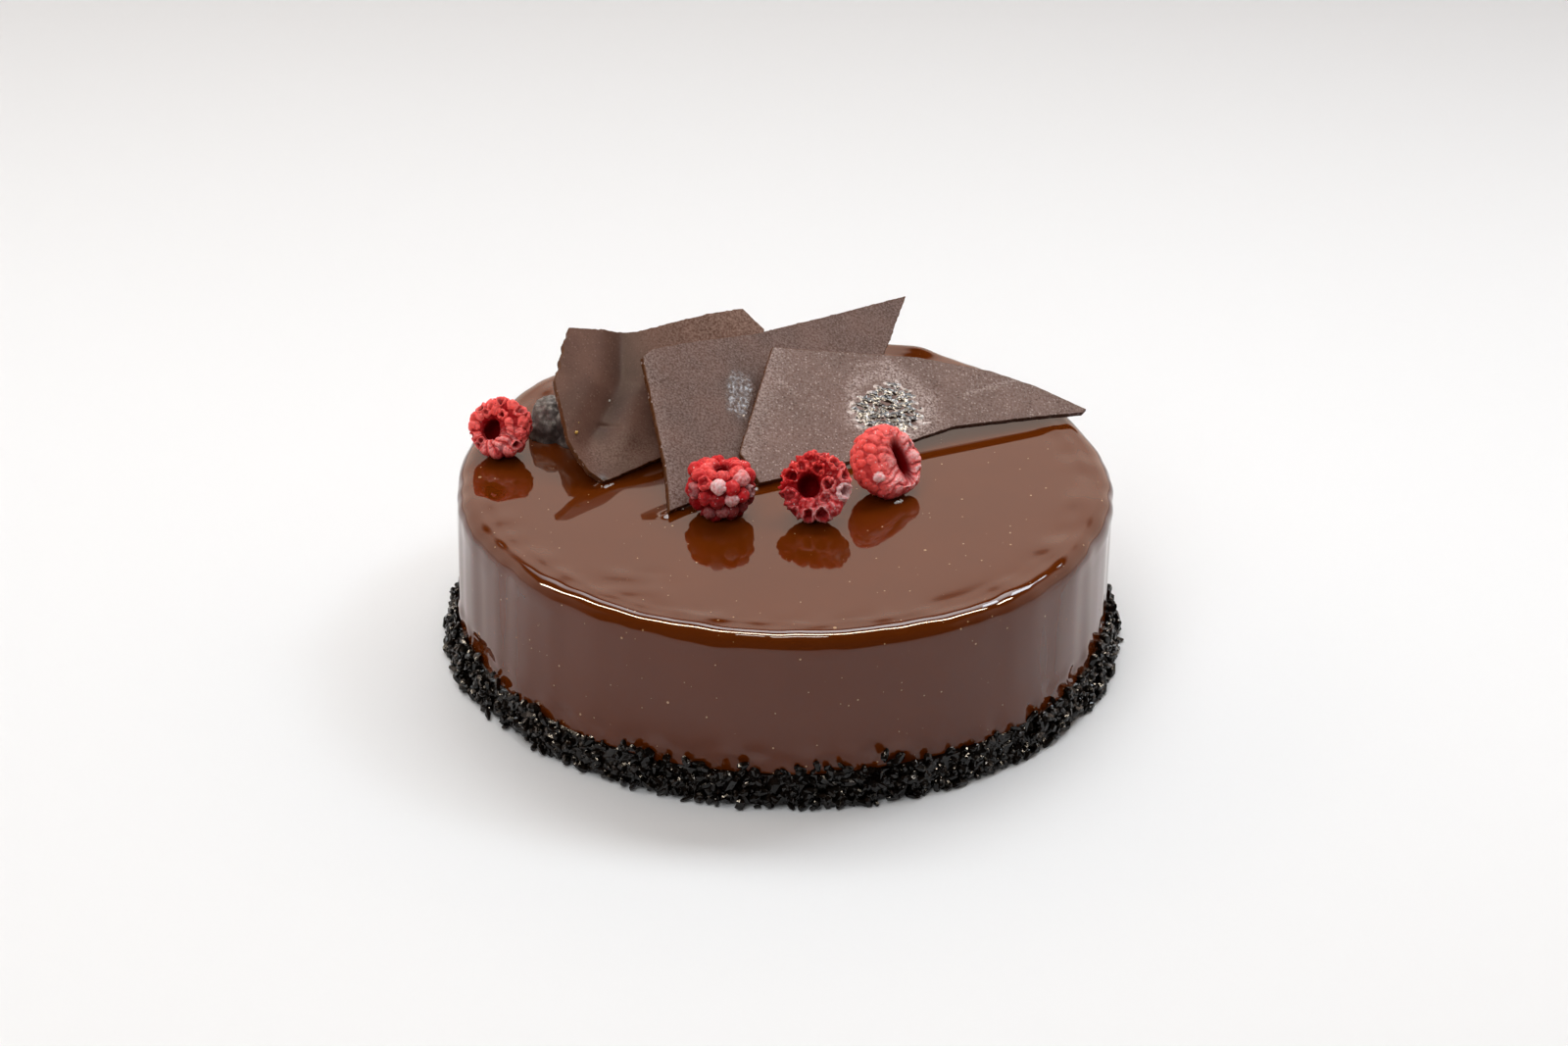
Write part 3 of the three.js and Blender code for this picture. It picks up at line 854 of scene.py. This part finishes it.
def lump_material():
    """Dull chocolate: near black with grey bloom in grains, and a painted highlight that makes it paler on
    the upper side.
    """
    material, tree, shader, place = new_material("lump_chocolate")
    facing = shader_node(tree, "ShaderNodeNewGeometry").outputs["Normal"]
    upward = shader_node(tree, "ShaderNodeSeparateXYZ", {0: facing}).outputs["Z"]
    grains = spread(tree, noise(tree, place, 700, 3), 0.35, 0.7)
    # Painted highlight: the bloom grows with how far the face points up.
    bloom = maths(tree, "MULTIPLY", grains, spread(tree, upward, -0.2, 0.95, 0.15, 1.0))
    tree.links.new(blend(tree, bloom, LUMP_DARK, LUMP_BLOOM_AND_HIGHLIGHT), shader.inputs["Base Color"])
    tree.links.new(spread(tree, noise(tree, place, 300), 0.3, 0.7, 0.45, 0.65), shader.inputs["Roughness"])
    relief(tree, shader, 0.6, 0.0004, noise(tree, place, 900, 4))
    return material


lobes = np.stack([lobe_surface(*lobe, 70 + number) for number, lobe in enumerate(LOBES)])
lump = new_piece("lump", *joined(lobes, *turned_faces(LOBE_ROWS, LOBE_COLUMNS)), lump_material())
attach(lump, "root")
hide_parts("chocolate_lump")


# Raspberries: frozen, set on the glaze by hand. Each is a thimble of juicy drupelets round the hollow left
# by its stalk. Some drupelets have burst and sunk in, the lip is creased, and frost whitens single
# drupelets and the ridges.
BERRY_ROWS = 180
BERRY_COLUMNS = 240
BERRY_PROUD = 1.1
BERRY_ROUNDED = 7
BERRY_LEAN = (0.55, 1.3)
BERRY_CONE = [(0, 0), (0.42, 0.05), (0.70, 0.27), (0.89, 0.55), (1, 0.82), (0.92, 0.95), (0.76, 1)]
BERRY_BARREL = [(0, 0), (0.68, 0), (0.82, 0.10), (0.94, 0.32), (1, 0.60), (0.95, 0.85), (0.70, 1)]
BERRY_HOLLOW = [
    (0.58, 1), (0.48, 0.96), (0.43, 0.88), (0.40, 0.75),
    (0.36, 0.60), (0.30, 0.44), (0.20, 0.32), (0.02, 0.27),
]
# Deep red for painted shade in the hollow, the pits, the creases and at the foot
BERRY_DEEP_SHADE = (0.15, 0.0014, 0.0026, 1)
BERRY_RED = (0.62, 0.013, 0.018, 1)
BERRY_CORAL = (1.0, 0.110, 0.095, 1)
BERRY_FROST = (0.90, 0.76, 0.75, 1)

# For each berry: where it stands, its outline as shares of its size, its size in the grooves, the way its
# open end faces, how wide the hollow is, how far it is off the middle and how much it is drawn out upwards.
# Then its drupelets: widths at the tip and the lip, height as a share of the reach, share burst, creases
# across the lip with their height, how far the lip is rolled smooth and how wrinkled the skin is. Then its
# colour: how coral it is, how much lighter it is painted upwards as painted light from above, frost on the
# ridges and as a veil between them, the side that the frost is on, and the ways in which single drupelets
# are white.
BERRIES = [
    {"side": "left", "at": (-86.1, 9.7), "outer": BERRY_CONE, "radius": 8.8, "height": 10.2,
     "facing": (-0.26, -0.77, 0.59), "hole": 0.78, "shift": (-3.0, 0, -1.2), "tall": 0.15,
     "sizes": (2.7, 3.3), "dome": 0.62, "pits": 0.50, "folds": (16, 0.50), "roll": 0.30, "wrinkled": 0.6,
     "coral": 1.1, "painted_top_light": 0.60, "edged": 0.45, "veil": 0.15, "frost_from": (0.1, -0.6, -0.8),
     "white": []},
    {"side": "middle", "at": (-19.1, -27.1), "outer": BERRY_BARREL, "radius": 9.6, "height": 14.4,
     "facing": (0, 0.01, 1), "hole": 0.30, "shift": (0.3, 1.0, 0), "tall": 0.0,
     "sizes": (3.7, 5.2), "dome": 1.0, "pits": 0.12, "folds": (13, 0.20), "roll": 0.0, "wrinkled": 0.4,
     "coral": -0.45, "painted_top_light": 1.3, "edged": 0.22, "veil": 0.05, "frost_from": (0.5, -0.8, 0.1),
     "white": [((0, -0.9, 0.42), 0.95), ((0.33, -0.92, 0.1), 0.7), ((0.74, -0.6, 0.35), 0.5),
               ((0.9, -0.4, 0.15), 0.5), ((0.05, -0.95, -0.28), 0.22), ((-0.42, -0.8, -0.4), 0.18),
               ((-0.9, -0.4, 0.1), 0.25)]},
    {"side": "front", "at": (9.8, -27.3), "outer": BERRY_CONE, "radius": 10.3, "height": 10.6,
     "facing": (-0.19, -0.78, 0.60), "hole": 0.76, "shift": (-2.3, 0, 0.2), "tall": 0.0,
     "sizes": (4.0, 5.6), "dome": 0.60, "pits": 0.85, "folds": (21, 0.20), "roll": 0.1, "wrinkled": 0.9,
     "coral": 0.14, "painted_top_light": 0.50, "edged": 0.70, "veil": 0.10, "frost_from": (0.6, -0.5, -0.6),
     "white": [((0.9, -0.4, 0.2), 1.0), ((0.85, -0.5, -0.2), 0.5)]},
    {"side": "right", "at": (28.1, -10.7), "outer": BERRY_CONE, "radius": 10.7, "height": 12.0,
     "facing": (0.62, -0.56, 0.55), "hole": 0.44, "shift": (5.0, 1.2, -0.5), "tall": 0.75,
     "sizes": (3.5, 3.1), "dome": 0.42, "pits": 0.03, "folds": (14, 0.60), "roll": 0.8, "wrinkled": 0.4,
     "coral": 1.1, "painted_top_light": 0.60, "edged": 0.80, "veil": 0.22, "frost_from": (1.0, -0.1, -0.1),
     "white": [((0.17, -0.98, 0.07), 0.9)]},
]


def berry_profile(berry):
    """The outline as lengths about the berry's middle, at even steps from the tip up the outside, over the
    lip and down the hollow, with its corners rounded off by a running mean. Also gives the way along it and
    where on that way the lip is."""
    hollow = np.array(BERRY_HOLLOW) * (berry["hole"], 1)
    line = np.concatenate([berry["outer"], hollow]) * (berry["radius"], berry["height"] - BERRY_PROUD)
    way = np.concatenate([[0], np.cumsum(np.hypot(*np.diff(line, axis=0).T))])
    even = np.linspace(0, way[-1], BERRY_ROWS)
    weights = np.full(2 * BERRY_ROUNDED + 1, 1 / (2 * BERRY_ROUNDED + 1))
    r, z = (
        np.convolve(np.pad(np.interp(even, way, part), BERRY_ROUNDED, "edge"), weights, "valid")
        for part in line.T
    )
    return r, z - 0.5 * berry["height"], even, way[len(berry["outer"]) - 1]


def drupelet_places(berry, shift, random):
    """Middles of the drupelets on the outline, their reaches and their places along the way: rings from the
    tip to the lip, each filled with as many as fit, and one more ring on top of the lip."""
    r, z, way, lip = berry_profile(berry)
    small, large = berry["sizes"]
    rings = round(lip / (0.5 * (small + large)))
    widths = np.linspace(small, large, rings)
    widths *= lip / widths.sum()
    at = np.append(np.cumsum(widths) - widths / 2, lip + 0.40 * large)
    widths = np.append(widths, 0.85 * large)
    middles, reaches, ways = [], [], []
    for ring, (ring_at, width) in enumerate(zip(at, widths)):
        ring_r = np.interp(ring_at, way, r)
        count = max(round(2 * np.pi * ring_r / width), 3)
        steps = np.arange(count) + 0.5 * (ring % 2) + random.uniform(-0.15, 0.15, count)
        turn = 2 * np.pi * steps / count
        on_way = ring_at + 0.12 * width * random.normal(size=count)
        out, high = np.interp(on_way, way, r), np.interp(on_way, way, z)
        lean = smooth_step(on_way / lip, *BERRY_LEAN)[:, None] * shift
        middles.append(np.stack([out * np.cos(turn), out * np.sin(turn), high], -1) + lean)
        reaches.append(0.5 * max(width, 2 * np.pi * ring_r / count) * random.uniform(0.97, 1.20, count))
        ways.append(on_way)
    return np.concatenate(middles), np.concatenate(reaches), np.concatenate(ways)


def berry_body(berry, shift, up):
    """The outline turned round the axis, with the lip and the hollow shifted off it, and the hollow drawn
    out upwards and narrowed across. Also gives the outline's own normals."""
    r, z, way, lip = berry_profile(berry)
    slope_r, slope_z = np.gradient(r), np.gradient(z)
    length = np.hypot(slope_r, slope_z)
    sides = unit_circle(even_turns(BERRY_COLUMNS))
    upright = np.array([0, 0, 1])
    lean = smooth_step(way / lip, *BERRY_LEAN)[:, None, None] * shift
    base = r[:, None, None] * sides + z[:, None, None] * upright + lean
    drawn = smooth_step(way / lip, 0.95, 1.25) * r
    across = np.cross(up, upright)
    taller = (sides @ up)[:, None] * up - 0.5 * (sides @ across)[:, None] * across
    base += berry["tall"] * drawn[:, None, None] * taller
    normal = (slope_z / length)[:, None, None] * sides - (slope_r / length)[:, None, None] * upright
    return base, normal


def drupelet_domes(berry, base, middles, reaches, near_lip, random):
    """Round domes about the middles, each a little longer one way, the highest of which counts. Gives the
    drupelet that each point is on, the dome's height there, the distance from its middle over its reach,
    and the pit and the raised brim round it in those that have burst, most of them near the lip."""
    count = len(middles)
    burst = random.uniform(0, 1, count) < berry["pits"] * (0.15 + 0.85 * near_lip)
    burst = burst * random.uniform(0.5, 1.1, count)
    stretch = random.normal(size=(count, 3))
    stretch *= random.uniform(0, 0.35, (count, 1)) / np.linalg.norm(stretch, axis=1)[:, None]
    bent = base + 0.14 * np.stack([waves(base, 2.4, 81 + axis) for axis in range(3)], -1)
    offset = bent[:, :, None] - middles
    apart = np.sqrt((offset ** 2).sum(-1) + np.einsum("ijkl,kl->ijk", offset, stretch) ** 2) / reaches
    domes = reaches * berry["dome"] * np.sqrt(np.clip(1 - apart ** 2, 0, 1))
    owner = domes.argmax(-1)
    dome = np.take_along_axis(domes, owner[..., None], -1)[..., 0]
    own_apart = np.take_along_axis(apart, owner[..., None], -1)[..., 0]
    ragged = own_apart + 0.07 * waves(base, 1.5, 88)
    pit = burst[owner] * (1 - smooth_step(ragged, 0.32, 0.68))
    brim = burst[owner] * hill(ragged - 0.74, 0.10)
    return owner, dome, own_apart, pit, brim


def berry_surface(berry, shift, up, toward, random):
    """The body moved along its own normals by the drupelets' domes, pits and brims. On the lip the domes
    fade, and creases that fan out from the hollow take their place, most on the frosted side. Wrinkles go
    over it all. Also gives the drupelet that each point is on, the drupelets' middles, and how sunk, how
    ridged, how frosted and how near a drupelet's top each point is."""
    _, z, way, lip = berry_profile(berry)
    turn = even_turns(BERRY_COLUMNS)
    base, normal = berry_body(berry, shift, up)
    middles, reaches, ways = drupelet_places(berry, shift, random)
    near_lip = smooth_step(ways / lip, 0.45, 0.75)
    owner, dome, own_apart, pit, brim = drupelet_domes(berry, base, middles, reaches, near_lip, random)

    fold_count, fold_height = berry["folds"]
    frosted = np.clip(0.3 + 0.9 * (base @ toward) / np.linalg.norm(base, axis=-1), 0, 1)
    on_lip = hill((way - lip - 1.0) / 3.6, 1)[:, None] * (0.35 + 0.65 * frosted)
    wander = 0.7 * waves(base, 5, 84)
    ridge = np.abs(np.sin(0.5 * fold_count * turn + wander)) ** 0.6
    lip_lines = np.sin(2.5 * fold_count * turn + 2 * waves(base, 3, 85))
    in_hollow = smooth_step(way - lip, 2.6, 6.0)[:, None] * np.ones(BERRY_COLUMNS)
    rolled = berry["roll"] * on_lip
    mean_dome = berry["dome"] * reaches.mean()
    rise = dome * (1 - rolled) + 0.6 * rolled * mean_dome + BERRY_PROUD - mean_dome
    rise += 0.28 * brim - 1.3 * reaches[owner] * berry["dome"] * pit
    rise = rise * (1 - in_hollow) + on_lip * (fold_height * (ridge - 0.5) + 0.07 * lip_lines)
    wrinkles = (waves(base, 1.7, 87) + 0.6 * waves(base, 0.8, 89)) * (1 - in_hollow)
    rise += 0.20 * waves(base, 7, 86) + 0.11 * berry["wrinkled"] * wrinkles
    points = base + rise[..., None] * normal

    creased = min(1, 2 * fold_height) * on_lip
    # The sunk share is painted deep red by the material, as painted shade: the pits, the hollow, the
    # grooves between drupelets, the creases of the lip and the wrinkles.
    groove = 1 - smooth_step(dome / (reaches[owner] * berry["dome"]), 0.06, 0.34)
    groove_shade = min(0.85, 0.9 * berry["dome"]) * groove * (1 - rolled)
    fold_shade = 0.6 * creased * (1 - smooth_step(ridge, 0.2, 0.65))
    wrinkle_shade = 0.45 * berry["wrinkled"] * smooth_step(-wrinkles, 0.2, 1.4)
    sunk = np.maximum.reduce([pit, in_hollow, groove_shade, fold_shade, wrinkle_shade])
    on_folds = creased * smooth_step(ridge, 0.55, 0.95)
    on_wrinkles = 0.6 * berry["wrinkled"] * smooth_step(wrinkles, 0.4, 1.5)
    ridged = np.maximum.reduce([brim, on_folds, on_wrinkles])
    high = smooth_step(1 - own_apart, 0.35, 0.9) * (1 - in_hollow)
    ends = [[0, 0, z[0] - 0.1], shift + (0, 0, z[-1])]
    return np.concatenate([points.reshape(-1, 3), ends]), owner, middles, sunk, ridged, frosted, high


def berry_material(name, glow):
    """Frozen flesh: red to coral on the drupelets, painted lighter upwards as painted light from above, and
    painted deep red as painted shade in the hollow, the pits, the creases and at the foot, where it is also
    more saturated. Some light under the skin, white frost in fine crystals where the mark says so, and
    flecks of it on all that is exposed."""
    material, tree, shader, place = new_material(name)
    sunk = mark(tree, "sunk")
    mottled = spread(tree, noise(tree, place, 520, 4), 0.3, 0.7, -0.4, 0.4)
    tone = maths(tree, "ADD", mark(tree, "ripe"), mottled)
    # Painted shade: the sunk places go redder and darker, and the low shares, which are the lower sides
    # painted darker, go deep red.
    exposed = maths(tree, "SUBTRACT", tone, maths(tree, "MULTIPLY", sunk, 1.2))
    flesh = blend(tree, spread(tree, exposed, 0, 1), BERRY_RED, BERRY_CORAL)
    dark = maths(tree, "MAXIMUM", spread(tree, sunk, 0, 0.9), spread(tree, tone, -0.8, 0, 0.8, 0))
    flesh = blend(tree, dark, flesh, BERRY_DEEP_SHADE)
    crystals = spread(tree, noise(tree, place, 1300, 3), 0.30, 0.68, 0.35, 1.0)
    flecks = maths(tree, "MULTIPLY", specks(tree, 1500, 0.42, 0.16), spread(tree, sunk, 0.1, 0.6, 0.55, 0))
    white = maths(tree, "MAXIMUM", maths(tree, "MULTIPLY", crystals, mark(tree, "frost")), flecks)
    tree.links.new(blend(tree, white, flesh, BERRY_FROST), shader.inputs["Base Color"])
    tree.links.new(spread(tree, white, 0, 0.6, 0.27, 0.7), shader.inputs["Roughness"])
    relief(tree, shader, 0.7, 0.0003, noise(tree, place, 1100, 4))
    shader.inputs["Specular IOR Level"].default_value = 0.05
    shader.inputs["Subsurface Weight"].default_value = 0.25
    shader.inputs["Subsurface Radius"].default_value = (1.0, 0.14, 0.10)
    shader.inputs["Subsurface Scale"].default_value = 0.001 + 0.0007 * glow
    return material


berry_quads, berry_fans = turned_faces(BERRY_ROWS, BERRY_COLUMNS)
for number, berry in enumerate(BERRIES):
    random = np.random.default_rng(90 + number)
    facing = Vector(berry["facing"]).normalized()
    turned = np.array(Vector((0, 0, 1)).rotation_difference(facing).to_matrix())
    shift = (berry["shift"] @ turned) * (1, 1, 0)
    up = turned[2] * (1, 1, 0)
    up = up / max(np.linalg.norm(up), 0.01)
    toward = berry["frost_from"] @ turned / np.linalg.norm(berry["frost_from"])
    points, owner, middles, sunk, ridged, frosted, high = berry_surface(berry, shift, up, toward, random)
    points = points @ turned.T
    outward = (middles / np.linalg.norm(middles, axis=1)[:, None]) @ turned.T
    cad_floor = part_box(f"raspberry_{berry['side']}")[0].z * 1000
    points += (*berry["at"], cad_floor - points[:, 2].min())
    # Colour share: the berry's own coral, painted lighter upwards as painted light from above, and a random
    # part.
    ripe = berry["coral"] + berry["painted_top_light"] * outward[:, 2] + random.normal(0, 0.15, len(middles))
    ripe = np.clip(ripe, -1, 1.3)
    white = 0.10 * random.uniform(0, 1, len(middles)) ** 2
    for white_way, amount in berry["white"]:
        nearest = (outward @ np.array(white_way)).argmax()
        white[nearest] = max(white[nearest], amount)
    frost = np.maximum(white[owner], berry["edged"] * frosted * np.maximum(ridged, berry["veil"]))
    # Painted shade at the foot: the lowest few millimetres count as sunk, so they are painted deep red,
    # with less frost.
    shaded = 1 - smooth_step(points[:-2, 2].reshape(sunk.shape) - cad_floor, 0.4, 4.5)
    frost = np.maximum(frost, 0.06 * high) * (1 - sunk) * (1 - 0.6 * shaded)
    sunk = np.maximum(sunk, 0.75 * shaded)
    # The last two points are the tip and the bottom of the hollow
    raspberry = new_piece(
        f"berry_{berry['side']}", points, berry_quads, berry_fans,
        berry_material(f"berry_flesh_{berry['side']}", max(0, min(1, berry["coral"]))),
        ripe=np.append(ripe[owner].ravel(), [0.1, 0.1]),
        frost=np.append(frost.ravel(), [0, 0]),
        sunk=np.append(sunk.ravel(), [0.5, 1]),
    )
    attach(raspberry, "root")
    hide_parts(f"raspberry_{berry['side']}")


# Ice drop: cloudy ice in a short bent ridge of five lumps. It is melt water that ran off the right berry
# and froze fast to the glaze.
ICE_WHITE = (0.86, 0.85, 0.84, 1)
ICE_GREY = (0.30, 0.24, 0.21, 1)

# For each lump: x, y and radius
ICE_LUMPS = [
    (33.2, -18.8, 0.50), (33.9, -18.3, 0.70), (34.7, -18.1, 0.55), (35.1, -17.4, 0.50), (34.8, -16.7, 0.40)
]


def ice_material():
    """Cloudy ice: white to the brown that shows through it, with a wet face."""
    material, tree, shader, place = new_material("ice_drop")
    tree.links.new(blend(tree, noise(tree, place, 900), ICE_GREY, ICE_WHITE), shader.inputs["Base Color"])
    tree.links.new(spread(tree, noise(tree, place, 1500), 0.3, 0.7, 0.05, 0.2), shader.inputs["Roughness"])
    return material


balls = np.stack([
    lumpy_ball(radius, 95 + number) * (1, 1, 0.6) + (x, y, GLAZE_HEIGHT + 0.3 * radius)
    for number, (x, y, radius) in enumerate(ICE_LUMPS)
])
ice_drop = new_piece("ice_drop", *joined(balls, *bit_faces), ice_material())
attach(ice_drop, "root")
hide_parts("glazed_cake")


# Floor and light: a pale seamless sweep, bright behind the cake, in a dim room. The main light hangs behind
# and above the cake, a window is high on the right, soft fills hang overhead and in front, and two bare
# strips overhead only draw their line along the shiny rim.
FLOOR_HALF = 4000.0
FLOOR_LINES = 9
FLOOR_PALE = (0.77, 0.765, 0.765, 1)
FLOOR_PALER = (0.7854, 0.7803, 0.7803, 1)
ROOM_TINT = (1.0, 0.82, 0.70, 1)
ROOM_FRONT = 0.06
ROOM_BACK = 1.35
ROOM_OVERHEAD = 0.03

# For each light: name, place and size in metres, power in watts, tint and the angle that it spreads over
LIGHTS = [
    ("key", (0.10, 0.66, 1.22), (2.0, 0.40), 3.3, (0.93, 0.975, 1.0), 75),
    ("window", (0.83, 0.52, 1.16), (0.32, 0.32), 4.5, (0.80, 0.90, 1.0), 180),
    ("strip", (-0.30, 0.10, 1.30), (2.9, 0.11), 50, (1, 0.86, 0.68), 180),
    ("thin_strip", (0.0, -0.24, 1.30), (0.36, 0.07), 2.0, (1, 0.92, 0.82), 180),
    ("top_fill", (-0.25, -0.10, 1.35), (0.9, 0.9), 5.3, (0.95, 0.98, 1.0), 180),
    ("front_fill", (-0.45, -1.05, 1.10), (1.0, 1.0), 8.6, (0.95, 0.98, 1.0), 180),
]


def floor_material():
    """Matte pale paper with the faintest cloudiness."""
    material, tree, shader, place = new_material("pale_sweep")
    tree.links.new(blend(tree, noise(tree, place, 3), FLOOR_PALE, FLOOR_PALER), shader.inputs["Base Color"])
    shader.inputs["Roughness"].default_value = 0.9
    return material


lines = np.linspace(-FLOOR_HALF, FLOOR_HALF, FLOOR_LINES)
floor_x, floor_y = np.meshgrid(lines, lines)
floor_points = np.stack([floor_x, floor_y, 0 * floor_x], -1).reshape(-1, 3)
floor_quads = grid_faces(np.arange(floor_x.size).reshape(floor_x.shape))
floor = new_piece("floor", floor_points, floor_quads, no_fans, floor_material())
floor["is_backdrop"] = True

for name, light_place, light_size, power, tint, cone in LIGHTS:
    lamp = bpy.data.objects.new(name, bpy.data.lights.new(name, "AREA"))
    lamp.data.shape = "RECTANGLE"
    lamp.data.size, lamp.data.size_y = light_size
    lamp.data.energy = power
    lamp.data.color = tint
    lamp.data.spread = math.radians(cone)
    lamp.location = light_place
    if "strip" not in name:
        lamp.rotation_euler = (-Vector(light_place)).to_track_quat("-Z", "Y").to_euler()
    lamp.visible_diffuse = "strip" not in name
    lamp.visible_glossy = "fill" not in name
    bpy.context.scene.collection.objects.link(lamp)

world = bpy.data.worlds.new("studio")
bpy.context.scene.world = world
world.use_nodes = True
sky = world.node_tree
seen = sky.nodes.new("ShaderNodeTexCoord").outputs["Generated"]
way = shader_node(sky, "ShaderNodeSeparateXYZ", {0: seen}).outputs
sweep = spread(sky, way["Y"], -0.45, 0.35, ROOM_FRONT, ROOM_BACK)
above = spread(sky, way["Z"], 0.56, 0.64)
room = shader_node(sky, "ShaderNodeMix", {0: above, 2: sweep, 3: ROOM_OVERHEAD}).outputs[0]
sky.links.new(room, sky.nodes["Background"].inputs["Strength"])
sky.nodes["Background"].inputs["Color"].default_value = ROOM_TINT
bpy.context.scene.view_settings.view_transform = "Standard"


# Camera: a long lens about a metre away, from the front and above, aimed at the middle of the cake and held
# a degree out of level.
CAMERA_PLACE = Vector((-0.00285, -0.9970, 0.5853))
CAMERA_AIM = Vector((-0.00006, 0.0131, 0.0300))
CAMERA_ROLL = 1.157
CAMERA_LENS = 85
CAMERA_SENSOR = 36

camera = bpy.data.objects.new("camera", bpy.data.cameras.new("camera"))
camera.data.lens = CAMERA_LENS
camera.data.sensor_width = CAMERA_SENSOR
camera.location = CAMERA_PLACE
camera.rotation_mode = "QUATERNION"
level = (CAMERA_AIM - CAMERA_PLACE).to_track_quat("-Z", "Y")
camera.rotation_quaternion = level @ Quaternion((0, 0, 1), math.radians(CAMERA_ROLL))
bpy.context.scene.collection.objects.link(camera)
bpy.context.scene.camera = camera

low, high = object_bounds()
